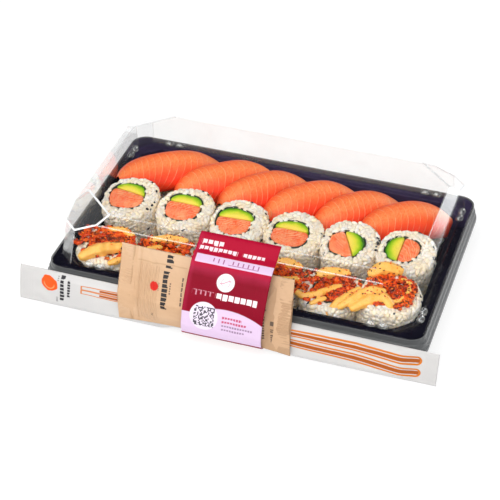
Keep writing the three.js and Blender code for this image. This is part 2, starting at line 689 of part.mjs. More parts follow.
function sachetGeometry() {
  const rings = [];
  const shares = [0, 0.03, SACHET_SEAL / SACHET_LENGTH, 0.16, 0.38, 0.62, 0.84];
  for (const share of [...shares, 1 - SACHET_SEAL / SACHET_LENGTH, 1]) {
    const nearEnd = Math.min(share, 1 - share) * SACHET_LENGTH;
    const fullness = THREE.MathUtils.smoothstep(nearEnd, SACHET_SEAL * 0.8, SACHET_SEAL + 14);
    const middleX = SACHET_CENTRE_X + (share - 0.5) * SACHET_LENGTH;
    const sag = (0.5 - share) * 1.8;
    const last = SACHET_ROUTE.length - 1;
    const xAt = (i) => middleX + SACHET_SHEAR * (0.5 - i / last);
    const tuck = (i) => (i === 0 ? SACHET_TUCK * (1 - (2 * share - 1) ** 2) : 0);
    const back = SACHET_ROUTE.map(([y, z], i) => new THREE.Vector3(xAt(i), y, z + sag + tuck(i)));
    const front = SACHET_ROUTE.map(([y, z], i) => {
      const middle = Math.sin((Math.PI * i) / last);
      const thickness = 0.6 + SACHET_BULGE * fullness * middle;
      const rise = thickness * 0.35 * (i / last);
      return new THREE.Vector3(xAt(i), y - thickness * 0.9, z + rise + sag + tuck(i));
    });
    rings.push([...front, ...back.reverse()]);
  }
  return sheetBody(rings);
}

// ---------------------------------------------------------------- label

// The band's route on its inner side, from the lid's top over the sachet and under the tray.
function labelRoute() {
  const shoulderY = -(TRAY_WIDTH / 2 - LID_SHOULDER_INSET_Y);
  const over = LABEL_THICKNESS + GAP;
  return [
    [shoulderY + LID_BEVEL_WIDTH + 2, LID_TOP + GAP],
    [shoulderY + LID_BEVEL_WIDTH, LID_TOP + GAP],
    [shoulderY - GAP, SHOULDER_HEIGHT + GAP],
    [-73.8, 50.3],
    [-77.6, 48.6],
    [-84.6, 40.6],
    [-90.4, 31.8],
    [-95, 23],
    [-96.6, 14],
    [-95.8, 9],
    [-95, 7.2],
    [-93.4, 5.6],
    [-90.6, 4.1],
    [-84, over - 0.3],
    [-(TRAY_WIDTH / 2 - PANEL_INSET), over - 0.3],
    [-(TRAY_WIDTH / 2 - PANEL_INSET) + LABEL_TAIL, over - 0.3],
  ];
}

function labelGeometry() {
  const route = labelRoute();
  const ringPair = route.map(([y, z], i) => {
    const before = route[Math.max(i - 1, 0)];
    const after = route[Math.min(i + 1, route.length - 1)];
    const along = new THREE.Vector2(after[0] - before[0], after[1] - before[1]).normalize();
    const out = new THREE.Vector2(along.y, -along.x).multiplyScalar(LABEL_THICKNESS);
    const left = LABEL_CENTRE_X - LABEL_WIDTH / 2;
    const right = left + LABEL_WIDTH;
    return [
      new THREE.Vector3(left, y, z),
      new THREE.Vector3(right, y, z),
      new THREE.Vector3(right, y + out.x, z + out.y),
      new THREE.Vector3(left, y + out.x, z + out.y),
    ];
  });
  return loftBody(ringPair);
}

// ---------------------------------------------------------------- assembly

addPiece('tray', trayGeometry(), BLACK_PLASTIC);
NIGIRI.forEach((nigiri, index) => addNigiri(index, nigiri));
MIDDLE_ROLLS.forEach((roll, index) => addMiddleRoll(index, roll));
FRONT_ROLLS.forEach((roll, index) => addFrontRoll(index, roll));
addPiece('lid', lidGeometry(), CLEAR_PLASTIC);
addPiece('chopsticks_packet', packetGeometry(), PACKET_WHITE);
addPiece('sauce_sachet', sachetGeometry(), KRAFT_TAN);
addPiece('label', labelGeometry(), LABEL_CRIMSON);

// The origin is under the middle of the whole pack's box.
const reach = new THREE.Box3().setFromObject(pack);
pack.position.set(-(reach.min.x + reach.max.x) / 2, -(reach.min.y + reach.max.y) / 2, -reach.min.z);

export default pack;
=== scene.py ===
# %% [markdown]
# # A takeaway sushi pack
# This lesson dresses a plain solid model of a takeaway sushi pack: a black tray, a clear
# lid, nigiri, rolls, and a printed band that holds a sauce sachet and a chopsticks packet.
# The solid model gives every piece its place. Lengths are thought of in millimetres
# from the middle of the tray's footprint, and turned into metres when a mesh is made.

# %% Load the solid model
import math

import bmesh
import bpy
import numpy as np
from mathutils import Matrix, Vector, noise


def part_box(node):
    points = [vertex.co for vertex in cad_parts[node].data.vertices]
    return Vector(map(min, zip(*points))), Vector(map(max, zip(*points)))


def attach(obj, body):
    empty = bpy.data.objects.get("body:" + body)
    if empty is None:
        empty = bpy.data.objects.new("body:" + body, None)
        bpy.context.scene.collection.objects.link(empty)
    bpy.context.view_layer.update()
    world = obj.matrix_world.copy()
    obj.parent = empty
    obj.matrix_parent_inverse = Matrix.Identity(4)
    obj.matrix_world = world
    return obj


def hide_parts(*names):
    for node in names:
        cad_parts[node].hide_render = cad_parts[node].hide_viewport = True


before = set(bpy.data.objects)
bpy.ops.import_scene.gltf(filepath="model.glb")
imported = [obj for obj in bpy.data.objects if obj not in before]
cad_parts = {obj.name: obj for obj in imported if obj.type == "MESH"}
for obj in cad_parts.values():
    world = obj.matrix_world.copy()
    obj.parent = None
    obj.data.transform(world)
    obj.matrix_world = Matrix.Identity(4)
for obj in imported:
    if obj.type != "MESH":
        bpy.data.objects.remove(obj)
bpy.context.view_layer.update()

tray_low, tray_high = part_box("tray")
TRAY_MIDDLE = np.array([(tray_low.x + tray_high.x) / 2, (tray_low.y + tray_high.y) / 2, 0])
print(f"{len(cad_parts)} solids, tray middle at {(TRAY_MIDDLE * 1000).round(2)} mm")


def metres(points):
    """Points in millimetres from the middle of the tray, as metres in the model's frame."""
    return np.asarray(points, float) / 1000 + TRAY_MIDDLE


# %% [markdown]
# ## Floor and light
# A pack like this is shot on a white sweep, so that its black tray and clear lid stand
# out. The floor gives off a little light of its own, as a lit table does, which
# keeps the shadow under the pack faint. The lid shows what it mirrors, so each panel of
# light is put where one face of the lid should catch it and the flat top should not.

# %% Lay the floor
scene = bpy.context.scene
scene.view_settings.view_transform = "Standard"
scene.world = bpy.data.worlds.new("soft_room")
scene.world.use_nodes = True


def set_sockets(shader, values):
    """Sets plain values on a shader's sockets."""
    for key, value in values.items():
        shader.inputs[key].default_value = value


room = scene.world.node_tree.nodes["Background"]
set_sockets(room, {"Color": (0.93, 0.96, 1.0, 1), "Strength": 0.12})

FLOOR_SIZE = 6.0
bpy.ops.mesh.primitive_plane_add(size=FLOOR_SIZE)
floor = bpy.context.object
floor.name = "floor"
paper = bpy.data.materials.new("lit_white_table")
paper.use_nodes = True
set_sockets(paper.node_tree.nodes["Principled BSDF"], {
    "Base Color": (0.3, 0.3, 0.3, 1),
    "Roughness": 0.9,
    "Specular IOR Level": 0.0,
    "Emission Color": (1, 1, 1, 1),
    "Emission Strength": 0.8,
})
floor.data.materials.append(paper)
print(f"a floor {FLOOR_SIZE:.0f} m wide")


# %% Hang the panels of light
WARM, NEUTRAL, COOL = (1, 0.97, 0.92), (1, 1, 1), (0.97, 0.98, 1)
# name, place and aim in metres, width and height, watts, tint
PANELS = (
    ("overhead_panel", (-0.2, -0.4, 1.35), (0, 0, 0), (1.6, 1.1), 12, NEUTRAL),
    ("front_panel", (-0.15, -1.7, 1.05), (0, 0, 0), (1.5, 0.8), 17, WARM),
    ("key_panel", (-0.95, -0.75, 0.85), (0, 0, 0), (0.7, 0.7), 5.5, WARM),
    ("fill_panel", (1.0, -0.7, 0.6), (0, 0, 0), (0.7, 0.7), 3, COOL),
    ("edge_panel", (0.5, 0.66, 0.39), (0.11, 0, 0.05), (0.42, 0.5), 2.2, NEUTRAL),
)
for name, place, aim, size, power, tint in PANELS:
    panel = bpy.data.lights.new(name, "AREA")
    panel.shape = "RECTANGLE"
    panel.size, panel.size_y = size
    panel.energy = power
    panel.color = tint
    stand = bpy.data.objects.new(name, panel)
    stand.location = place
    stand.rotation_euler = (Vector(aim) - Vector(place)).to_track_quat("-Z", "Y").to_euler()
    scene.collection.objects.link(stand)
    print(f"{name}: {power} W over {size[0]:.2f} x {size[1]:.2f} m")

# %% [markdown]
# ## Camera
# Product shots are taken with a long lens from well back, so the sides hardly draw
# together. The camera stands to the right of the middle, looks a third of the way down
# and is rolled by two degrees, so its three axes are written out as they are.

# %% Set up the camera
LENS_PIXELS = 1760.57
FRAME_PIXELS = 500
SENSOR_MM = 36.0
CAMERA_PLACE = (242.56, -877.80, 649.38)  # mm
CAMERA_RIGHT = (0.95440, 0.29718, 0.02840)
CAMERA_BACK = (0.22746, -0.78549, 0.57557)
camera_data = bpy.data.cameras.new("camera")
camera_data.sensor_width = SENSOR_MM
camera_data.lens = LENS_PIXELS / FRAME_PIXELS * SENSOR_MM
camera = bpy.data.objects.new("camera", camera_data)
back = Vector(CAMERA_BACK).normalized()
right = Vector(CAMERA_RIGHT)
right = (right - back * right.dot(back)).normalized()
turn = Matrix((right, back.cross(right), back)).transposed().to_4x4()
camera.matrix_world = Matrix.Translation(metres(CAMERA_PLACE)) @ turn
scene.collection.objects.link(camera)
scene.camera = camera
print(f"lens {camera_data.lens:.2f} mm, {camera.location.length:.2f} m from the tray")

# %% [markdown]
# ## Writing shader maths as plain expressions
# A finish is a small network of nodes. Wiring each one by hand hides the idea, so a
# `Field` wraps one output socket, and `+`, `*` or `1 - field` add the Math node that does
# it. A `Finish` is a material with its Principled shader, and `node` adds any other node.

# %% A value that varies over a surface
class Field:
    """An output socket of a finish: a number, colour or vector that varies."""

    def __init__(self, finish, socket):
        self.finish = finish
        self.socket = socket

    def math(self, operation, first, second=0.0, clamp=False):
        """A Math node with two inputs, each a field or a number."""
        settings = {"operation": operation, "use_clamp": clamp}
        return self.finish.node("Math", settings, {0: first, 1: second})

    def clamp(self):
        """The field cut off at 0 and at 1."""
        return self.math("ADD", self, 0.0, clamp=True)

    def past(self, edge, blur):
        """0 below the edge and 1 beyond it, with a soft step as wide as the blur."""
        return self.math("ADD", (self - edge) / blur, 0.5, clamp=True)

    def within(self, low, high, blur):
        """1 between two edges, each with a soft step as wide as the blur."""
        return self.past(low, blur) * (1 - self.past(high, blur))


def plain(operation):
    """A method that takes the field first, such as field - 1."""
    return lambda self, other=0.0: self.math(operation, self, other)


def reflected(operation):
    """A method that takes the field last, such as 1 - field."""
    return lambda self, other: self.math(operation, other, self)


for name, operation in {
    "__add__": "ADD", "__radd__": "ADD", "__sub__": "SUBTRACT", "__mul__": "MULTIPLY",
    "__rmul__": "MULTIPLY", "__truediv__": "DIVIDE", "__pow__": "POWER",
    "__mod__": "FLOORED_MODULO", "__gt__": "GREATER_THAN", "__abs__": "ABSOLUTE",
    "sine": "SINE", "floor": "FLOOR", "lower": "MINIMUM", "higher": "MAXIMUM",
}.items():
    setattr(Field, name, plain(operation))
Field.__rsub__ = reflected("SUBTRACT")


# %% A finish and its nodes
def find_socket(sockets, key):
    """A socket by its number, its identifier or its name."""
    if isinstance(key, int):
        return sockets[key]
    for socket in sockets:
        if key == socket.identifier:
            return socket
    return sockets[key]


class Finish:
    """A material under construction. Plain values are set straight on its shader."""

    def __init__(self, name, **values):
        self.material = bpy.data.materials.new(name)
        self.material.use_nodes = True
        self.tree = self.material.node_tree
        self.shader = self.tree.nodes["Principled BSDF"]
        for key, value in values.items():
            self.put(key.replace("_", " "), value)

    def put(self, key, value):
        """Sets one input of the shader to a plain value, or links a field to it."""
        self.feed(find_socket(self.shader.inputs, key), value)

    def feed(self, socket, value):
        """Links a field to any socket, or sets the socket to a plain value."""
        if isinstance(value, Field):
            self.tree.links.new(value.socket, socket)
        elif socket.type == "RGBA":
            socket.default_value = (*value[:3], 1)
        else:
            socket.default_value = value

    def node(self, kind, settings=None, sockets=None, output=0):
        """Adds a node: its type, its settings, the values or links of its sockets."""
        made = self.tree.nodes.new("ShaderNode" + kind)
        for key, value in (settings or {}).items():
            if key == "stops":
                ramp = made.color_ramp
                for i, (place, colour) in enumerate(value):
                    stop = ramp.elements[i] if i < 2 else ramp.elements.new(place)
                    stop.position = place
                    stop.color = (*colour, 1)
            else:
                setattr(made, key, value)
        for key, value in (sockets or {}).items():
            self.feed(find_socket(made.inputs, key), value)
        return Field(self, find_socket(made.outputs, output))

    def blend(self, mask, under, over):
        """One colour over another where the mask is 1."""
        sockets = {"Factor_Float": mask, "A_Color": under, "B_Color": over}
        return self.node("Mix", {"data_type": "RGBA"}, sockets, "Result_Color")

    def place(self, stretch=(1, 1, 1)):
        """Where a point is, in millimetres, stretched along each axis."""
        where = self.node("TexCoord", output="Object")
        scale = [1000 * s for s in stretch]
        return self.node("VectorMath", {"operation": "MULTIPLY"}, {0: where, 1: scale})

    def grain(self, size, detail=2.0, where=None, roughness=0.5):
        """Noise from 0 to 1 whose lumps are about as large as the size, in mm."""
        sockets = {"Vector": where or self.place(), "Scale": 1 / size, "Detail": detail}
        return self.node("TexNoise", {}, sockets | {"Roughness": roughness}, "Fac")

    def stored(self, name):
        """A number that the mesh carries at each point."""
        return self.node("Attribute", {"attribute_name": name}, output="Fac")

    def ramp(self, field, stops):
        """A colour picked from a row of (place, colour) stops by a field."""
        return self.node("ValToRGB", {"stops": stops}, {"Fac": field}, "Color")

    def relief(self, height, depth):
        """Raises the surface by a field times a depth in mm, through its normals."""
        sockets = {"Height": height, "Distance": depth / 1000, "Strength": 1.0}
        self.put("Normal", self.node("Bump", {}, sockets, "Normal"))


# %% [markdown]
# ## Turning points into pieces
# Every piece is made from lists of points in millimetres. Most of them are lofts: rings
# of points joined by bands of quads. The helpers below do the joining, hand the finished
# mesh to the frame, and hide the plain solid that it stands for.

# %% Make a piece from points
def build_mesh(name, points, faces, smooth=True, stored=None):
    """A mesh from points in mm, faces, and numbers that each point carries."""
    mesh = bpy.data.meshes.new(name)
    mesh.from_pydata(metres(points).tolist(), [], [tuple(f) for f in faces])
    for key, values in (stored or {}).items():
        layer = mesh.attributes.new(key, "FLOAT", "POINT")
        layer.data.foreach_set("value", np.asarray(values, np.float32))
    mesh.polygons.foreach_set("use_smooth", [smooth] * len(mesh.polygons))
    mesh.update()
    return mesh


def add_piece(name, mesh, finish, stands_for=()):
    """Puts a mesh into the pack with its finish, and hides the solids that it stands for."""
    piece = bpy.data.objects.new(name, mesh)
    scene.collection.objects.link(piece)
    if not mesh.materials:
        mesh.materials.append(finish.material)
    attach(piece, "root")
    if stands_for:
        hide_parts(*stands_for)


# %% Join rings into a skin
def band_faces(ring_count, count, closed_loop=False):
    """Quads between neighbouring rings of equal point count."""
    rings = np.arange(ring_count if closed_loop else ring_count - 1)
    steps = np.arange(count)
    here = (rings * count)[:, None]
    there = (((rings + 1) % ring_count) * count)[:, None]
    after = (steps + 1) % count
    quads = np.stack([here + steps, here + after, there + after, there + steps], axis=-1)
    return quads.reshape(-1, 4).tolist()


def capped_loft(rings):
    """Points and faces of a skin whose first and last ring are closed by flat faces."""
    count = len(rings[0])
    points = np.concatenate(rings)
    faces = band_faces(len(rings), count)
    faces.append(list(range(count))[::-1])
    faces.append(list(range(len(points) - count, len(points))))
    return points, faces


def turn_outward(mesh):
    """Makes the faces of each closed part of a mesh look outward."""
    body = bmesh.new()
    body.from_mesh(mesh)
    bmesh.ops.recalc_face_normals(body, faces=body.faces)
    body.to_mesh(mesh)
    body.free()
    return mesh


def triangle_count(mesh):
    return sum(len(p.vertices) - 2 for p in mesh.polygons)


# %% Round the corners of a profile
def soften(stations, radius, steps=3):
    """Replaces each inner corner of a list of stations by a short curve through it.

    A station is (inset, height, ...), and the numbers after those two go along."""
    stations = [np.array(s, float) for s in stations]
    softened = [stations[0]]
    for before, here, after in zip(stations, stations[1:], stations[2:]):
        back_by = min(0.5, radius / max(np.linalg.norm((before - here)[:2]), 1e-6))
        on_by = min(0.5, radius / max(np.linalg.norm((after - here)[:2]), 1e-6))
        start, end = here + (before - here) * back_by, here + (after - here) * on_by
        for t in np.linspace(0, 1, steps + 1):
            softened.append((1 - t) ** 2 * start + 2 * t * (1 - t) * here + t * t * end)
    return softened + [stations[-1]]


def smoothstep(value, low, high):
    """0 below the low edge, 1 above the high one, and a soft rise between them."""
    share = np.clip((np.asarray(value, float) - low) / (high - low), 0, 1)
    return share * share * (3 - 2 * share)

# %% [markdown]
# ## The black tray
# The tray is drawn from one warm plastic sheet, so it is a single skin with no sharp
# corner anywhere: a raised floor panel, a channel round it, leaning walls, a ledge, a flat
# rim and a skirt. A loft of rounded rectangles follows that section in one go. Each
# station says how far in from the rim's edge it lies, its height, how far its corners
# reach and how nearly straight they are cut.

# %% Rounded rectangles
TRAY_LENGTH = 232
TRAY_WIDTH = 158
RIM_HEIGHT = 24
TRAY_CORNER = 9
CAVITY_CORNER = 14


def rectangle_ring(inset, z, reach, flatness, arc_steps=10):
    """A rectangle whose corners are arcs (flatness 0) or straight cuts (flatness 1)."""
    half_x, half_y = TRAY_LENGTH / 2 - inset, TRAY_WIDTH / 2 - inset
    reach = max(reach, 0.5)
    points = []
    for sx, sy, start in ((1, 1, 0), (-1, 1, 90), (-1, -1, 180), (1, -1, 270)):
        turns = np.radians(start + 90 * np.linspace(0, 1, arc_steps + 1))
        arc = np.stack([np.cos(turns), np.sin(turns)], axis=1) * reach
        cut = np.linspace(arc[0], arc[-1], arc_steps + 1)
        corner = arc + (cut - arc) * flatness + [sx * (half_x - reach), sy * (half_y - reach)]
        points.append(np.column_stack([corner, np.full(len(corner), z)]))
    return np.concatenate(points)


# %% Loft the tray
PANEL_INSET = 15.2
PANEL_HEIGHT, CHANNEL_HEIGHT, LEDGE_HEIGHT, SKIRT_FOOT = 2.8, 1.2, 22.4, 14
CUT = 0.9


def cavity(inset, z):
    """A station of the hollow, whose corners are nearly straight cuts."""
    return (inset, z, CAVITY_CORNER - 0.3 * inset, CUT)


def edge(inset, z):
    """A station of the rim's outer edge, whose corners are round."""
    return (inset, z, TRAY_CORNER - inset, 0)


tray_section = soften([
    cavity(PANEL_INSET + 2, 3), cavity(PANEL_INSET, PANEL_HEIGHT),
    cavity(13.7, CHANNEL_HEIGHT), cavity(10.2, CHANNEL_HEIGHT),
    cavity(9.2, 2.8), cavity(8.7, LEDGE_HEIGHT),
    cavity(5.5, LEDGE_HEIGHT), cavity(5, RIM_HEIGHT),
    edge(0, RIM_HEIGHT), edge(-0.2, SKIRT_FOOT),
], 0.8)
tray_underside = soften([
    edge(0.8, SKIRT_FOOT), edge(1, 23), cavity(5.4, 23), cavity(6, 21.4), cavity(7.9, 21.4),
    cavity(8.3, 1.7), cavity(9.6, 0), cavity(14.2, 0), cavity(15.8, 1.8), cavity(17.6, 2),
], 0.4, steps=2)
rings = [rectangle_ring(*station) for station in tray_section + tray_underside]
points, faces = capped_loft(rings)

# Small beads moulded on both short rims keep the lid from sticking to them.
BEAD_COUNT = 19
BEAD_ROW = (-27, 39)
BEAD_X = 111.6
BEAD_SECTION = ((0.95, -0.1), (0.7, 0.15), (0.3, 0.25))
bead_turns = np.radians(np.arange(0, 360, 45))
for y in np.linspace(*BEAD_ROW, BEAD_COUNT):
    for x in (BEAD_X, -BEAD_X):
        bead_rings = [np.column_stack([
            x + np.cos(bead_turns) * radius, y + np.sin(bead_turns) * radius,
            np.full(len(bead_turns), RIM_HEIGHT + rise),
        ]) for radius, rise in BEAD_SECTION]
        bead_points, bead_faces = capped_loft(bead_rings)
        faces += [[len(points) + i for i in f] for f in bead_faces]
        points = np.concatenate([points, bead_points])
tray_mesh = turn_outward(build_mesh("tray_skin", points, faces))
print(f"tray: {triangle_count(tray_mesh)} triangles")

# %% [markdown]
# ### Black drawn plastic
# Polystyrene sheet is glossy on top of a faint orange-peel, and the press leaves a
# net of tiny dots on the leaning walls. The black leans a little to navy, and its back is
# painted a lighter purple-navy as a painted reflection of the room. Dust and rubbing show
# as rougher patches.

# %% Finish the tray
black = Finish("black_plastic", Specular_IOR_Level=0.08)
position = black.place()
height = black.node("SeparateXYZ", {}, {"Vector": position}, "Z")
# Painted reflection: towards the back the black is blended to a purple-navy sheen.
back_sheen = black.node("SeparateXYZ", {}, {"Vector": position}, "Y").past(58, 16)
mist = black.grain(14, 3)
ink_black = black.blend(mist, (0.0015, 0.0015, 0.005), (0.006, 0.005, 0.014))
black.put("Base Color", black.blend(back_sheen * (0.5 + mist), ink_black, (0.034, 0.025, 0.062)))
black.put("Roughness", 0.08 + 0.14 * mist + 0.08 * black.grain(1.1, 2))
net = {"Vector": position, "Scale": 0.55, "Randomness": 0.25}
cells = black.node("TexVoronoi", {"feature": "F1"}, net, "Distance")
dots = (1 - cells.past(0.42, 0.2)) * height.within(3.5, 21.5, 1.5)
black.relief(0.35 * black.grain(2.6, 2) + dots, 0.16)
add_piece("sushi_tray", tray_mesh, black, ["tray"])

# %% [markdown]
# ## The clear lid
# The lid is a thin drawn shell: leaning walls, a sloped band round the flat top, four
# corners cut by sloping facets, and a flange with a ridged skirt that grips the rim.
# A convex hull of three outlines, sliced at the corners, gives the flat facets exactly.
# Its edges are then rounded, because a sharp edge would never catch the light.

# %% Cut the shell's facets
LID_FOOT_HEIGHT = 24.3
LID_SHOULDER_HEIGHT = 51.3
SHOULDER_INSET_X, SHOULDER_INSET_Y = 4.9, 11.2
LID_TOP = 56.0
# inset from the rim along x and y, height, and cut of the upright corner
LID_LEVELS = (
    (4.2, 4.2, LID_FOOT_HEIGHT, 8.4),
    (SHOULDER_INSET_X, SHOULDER_INSET_Y, LID_SHOULDER_HEIGHT, 9.0),
    (11.6, 17.9, LID_TOP, 10.4),
)
NOTCH_SLOPE = math.radians(28)
NOTCH_REACH = 22.5
LID_SKIN = 0.6
CORNERS = [(sx, sy) for sx in (-1, 1) for sy in (-1, 1)]


def lid_shell():
    """The lid's outer face with its foot open and its four corners cut."""
    body = bmesh.new()
    for inset_x, inset_y, z, cut in LID_LEVELS:
        half_x, half_y = TRAY_LENGTH / 2 - inset_x, TRAY_WIDTH / 2 - inset_y
        for sx, sy in CORNERS:
            body.verts.new((sx * (half_x - cut), sy * half_y, z))
            body.verts.new((sx * half_x, sy * (half_y - cut), z))
    bmesh.ops.convex_hull(body, input=body.verts)
    tip = math.sin(NOTCH_SLOPE) * math.sqrt(0.5)
    for sx, sy in CORNERS:
        seat = (
            sx * (TRAY_LENGTH / 2 - SHOULDER_INSET_X - NOTCH_REACH / 2),
            sy * (TRAY_WIDTH / 2 - SHOULDER_INSET_Y - NOTCH_REACH / 2),
            LID_SHOULDER_HEIGHT,
        )
        everything = body.verts[:] + body.edges[:] + body.faces[:]
        normal = (sx * tip, sy * tip, math.cos(NOTCH_SLOPE))
        bmesh.ops.bisect_plane(
            body, geom=everything, plane_co=seat, plane_no=normal, clear_outer=True
        )
    corners = [v.co.copy() for v in body.verts]
    body.clear()
    for corner in corners:
        body.verts.new(corner)
    bmesh.ops.remove_doubles(body, verts=body.verts, dist=0.01)
    bmesh.ops.convex_hull(body, input=body.verts)
    bmesh.ops.dissolve_limit(
        body, angle_limit=math.radians(0.6), verts=body.verts, edges=body.edges
    )
    foot = [f for f in body.faces if f.normal.z < -0.9]
    bmesh.ops.delete(body, geom=foot, context="FACES_ONLY")
    return body


# %% Round the shell's edges
def is_notch(face):
    """True for a sloping corner facet, whose normal leans equally along x and y."""
    even_lean = abs(abs(face.normal.x) - abs(face.normal.y)) < 0.05
    return abs(face.normal.z - math.cos(NOTCH_SLOPE)) < 0.02 and even_lean


def round_edges(body, wanted, width, slot):
    """Rounds the wanted edges and marks the new faces with a material slot."""
    chosen = [e for e in body.edges if len(e.link_faces) == 2 and wanted(e)]
    bmesh.ops.bevel(
        body, geom=chosen, offset=width, offset_type="WIDTH", segments=3, profile=0.5,
        affect="EDGES", clamp_overlap=True, material=slot,
    )
    return len(chosen)


# The slots of the lid's finishes
(CLEAR, THICK_EDGE, CREASE, LEFT_SIDE, RIGHT_WALL, VEILED_BAND, SKIRT, LUGS, BACK_WALL) = range(9)
NOTCH_EDGE_WIDTH = 1.3
CREASE_WIDTH = 0.9
shell = lid_shell()
notch_edges = round_edges(
    shell, lambda e: any(map(is_notch, e.link_faces)), NOTCH_EDGE_WIDTH, THICK_EDGE
)
flat = {f for f in shell.faces if f.material_index == CLEAR}
creases = round_edges(
    shell, lambda e: all(f in flat for f in e.link_faces) and e.calc_face_angle() > 0.1,
    CREASE_WIDTH, CREASE,
)
shell.normal_update()
bmesh.ops.solidify(shell, geom=shell.faces[:], thickness=LID_SKIN)
for face in shell.faces:
    face.smooth = False
print(f"lid shell: {len(shell.faces)} faces, {notch_edges} notch edges, {creases} creases")

# %% Add the flange and its ridged skirt
def add_skin(body, mesh_points, mesh_faces, slot):
    """Adds smooth points and faces to a mesh that is being built."""
    corners = [body.verts.new(p) for p in mesh_points]
    for face in mesh_faces:
        made = body.faces.new([corners[i] for i in face])
        made.material_index = slot
        made.smooth = True


FOOT_INSET, FOOT_CUT = 6.2, 10.4
SKIRT_STEPS = 3
SKIRT_DROP = 12.6
SKIRT_STEP = 1.1


def flange_stations():
    """The flange's section, from under its foot over the ridged skirt and back."""
    outer = [(FOOT_INSET, LID_FOOT_HEIGHT + LID_SKIN), (-0.9, LID_FOOT_HEIGHT + LID_SKIN)]
    drop = (SKIRT_DROP - 1) / SKIRT_STEPS
    for step in range(SKIRT_STEPS):
        inset = -1.1 - step * SKIRT_STEP
        top = RIM_HEIGHT - 0.4 - step * drop
        outer += [(inset, top), (inset - 0.2, top - drop + 0.5)]
    inner = [(inset + LID_SKIN, z - 0.25) for inset, z in outer[2:]][::-1]
    section = outer + inner + [(-0.3, LID_FOOT_HEIGHT), (FOOT_INSET, LID_FOOT_HEIGHT)]
    stations = []
    for inset, z in section:
        at_foot = inset == FOOT_INSET
        stations.append((inset, z, FOOT_CUT if at_foot else TRAY_CORNER - inset, at_foot))
    return stations


stations = soften(flange_stations(), 0.5, steps=2)
rings = [rectangle_ring(*station) for station in stations]
loop_faces = band_faces(len(rings), len(rings[0]), closed_loop=True)
add_skin(shell, np.concatenate(rings), loop_faces, CLEAR)

# %% Add the snap lugs
LUG_RADIUS = 3.4
LUG_SPACING = 7.5
# Middle of each pair of lugs, for one corner of the lid
SHORT_SIDE_LUGS, LONG_SIDE_LUGS = (111.2, 56), (88, 73.8)
lug_turns = np.radians(np.arange(0, 360, 30))


def add_lug(x, y, wide_x, wide_y):
    """A small hollow dome on the flange, which snaps under the next pack in a pile."""
    rings = []
    for climb in np.radians((0, 22, 45, 66, 82)):
        reach, rise = LUG_RADIUS * math.cos(climb), 0.9 * LUG_RADIUS * math.sin(climb)
        rings.append(np.column_stack([
            x + np.cos(lug_turns) * reach * wide_x, y + np.sin(lug_turns) * reach * wide_y,
            np.full(len(lug_turns), LID_FOOT_HEIGHT + LID_SKIN + rise),
        ]))
    add_skin(shell, *capped_loft(rings), LUGS)


for sx, sy in CORNERS:
    for side in (-LUG_SPACING / 2, LUG_SPACING / 2):
        add_lug(sx * SHORT_SIDE_LUGS[0], sy * SHORT_SIDE_LUGS[1] + side, 0.75, 1.1)
        add_lug(sx * LONG_SIDE_LUGS[0] + side, sy * LONG_SIDE_LUGS[1], 1.1, 0.75)

lid_mesh = bpy.data.meshes.new("lid_shell")
for vertex in shell.verts:
    vertex.co = Vector(metres(vertex.co))
shell.to_mesh(lid_mesh)
shell.free()
print(f"lid: {triangle_count(lid_mesh)} triangles")

# %% [markdown]
# ### Clear plastic without the noise of real glass
# A thin clear sheet hardly bends light, so what shows is only what it mirrors: little
# where it is seen square on, and nearly everything where it is seen edge on. A white
# mirror whose opacity rises with the slant, by Schlick's rule, gives just that, and lets
# light through to the food. The rounded edges are made far more opaque and white, as
# painted highlights for the light that thick edges gather. Each side of the lid gets its
# own haze and gloss, as a painted reflection of what that side faces in the room.

# %% Finish the lid
ICE, GREY_SKY = (0.97, 0.99, 1.0), (0.75, 0.73, 0.67)


def clear_plastic(name, haze, gloss, rough, metallic=0.85, tint=ICE, fade=None):
    """Clear sheet: opacity from its mirroring, plus a haze that differs in places.

    With a fade, it is clearer in front of that distance along y, in mm."""
    finish = Finish(name, Base_Color=tint, Metallic=metallic)
    slant = finish.node("LayerWeight", {}, {"Blend": 0.5}, "Facing")
    mirroring = 0.04 + 0.96 * slant ** 5
    smear = finish.grain(22, 3, roughness=0.6)
    opacity = mirroring * gloss + haze * (0.5 + smear)
    if fade is not None:
        depth = finish.node("SeparateXYZ", {}, {"Vector": finish.place()}, "Y")
        opacity = opacity * (0.15 + 0.85 * depth.past(fade, 30))
    finish.put("Alpha", opacity.clamp())
    finish.put("Roughness", rough + 0.05 * smear)
    finish.relief(finish.grain(30, 1), 0.5)
    return finish


clear = clear_plastic("clear_sheet", 0.001, 0.05, 0.03)
# Painted reflection: the skirt is a grey, nearly opaque sheet that stands for the white floor
# mirrored in its ridges.
skirt = Finish("clear_grey_skirt", Base_Color=(0.13, 0.135, 0.14), Specular_IOR_Level=0.35)
streaks = skirt.grain(2.2, 2, skirt.place((0.02, 0.02, 1)))
skirt.put("Alpha", (0.74 + 0.26 * streaks.past(0.5, 0.35)).clamp())
skirt.put("Roughness", 0.15 + 0.25 * streaks)
skirt.relief(streaks, 0.3)
# Painted light: the thick edge and crease finishes are hazy white painted highlights, and the haze
# of the left side, the veiled band and the back wall, with its grey tint, is painted reflection.
LID_FINISHES = (
    clear,
    clear_plastic("clear_thick_edge", 0.75, 1.6, 0.25, metallic=0.1),
    clear_plastic("clear_crease", 0.16, 0.6, 0.2, metallic=0.25),
    clear_plastic("clear_left_side", 0.06, 1.0, 0.03),
    clear_plastic("clear_right_wall", 0.002, 0.04, 0.05),
    clear_plastic("clear_veiled_band", 0.12, 0.4, 0.2, fade=8),
    skirt,
    clear_plastic("clear_lugs", 0.14, 0.7, 0.08),
    clear_plastic("clear_back_wall", 0.09, 0.3, 0.3, metallic=0.0, tint=GREY_SKY),
)
for finish in LID_FINISHES:
    lid_mesh.materials.append(finish.material)


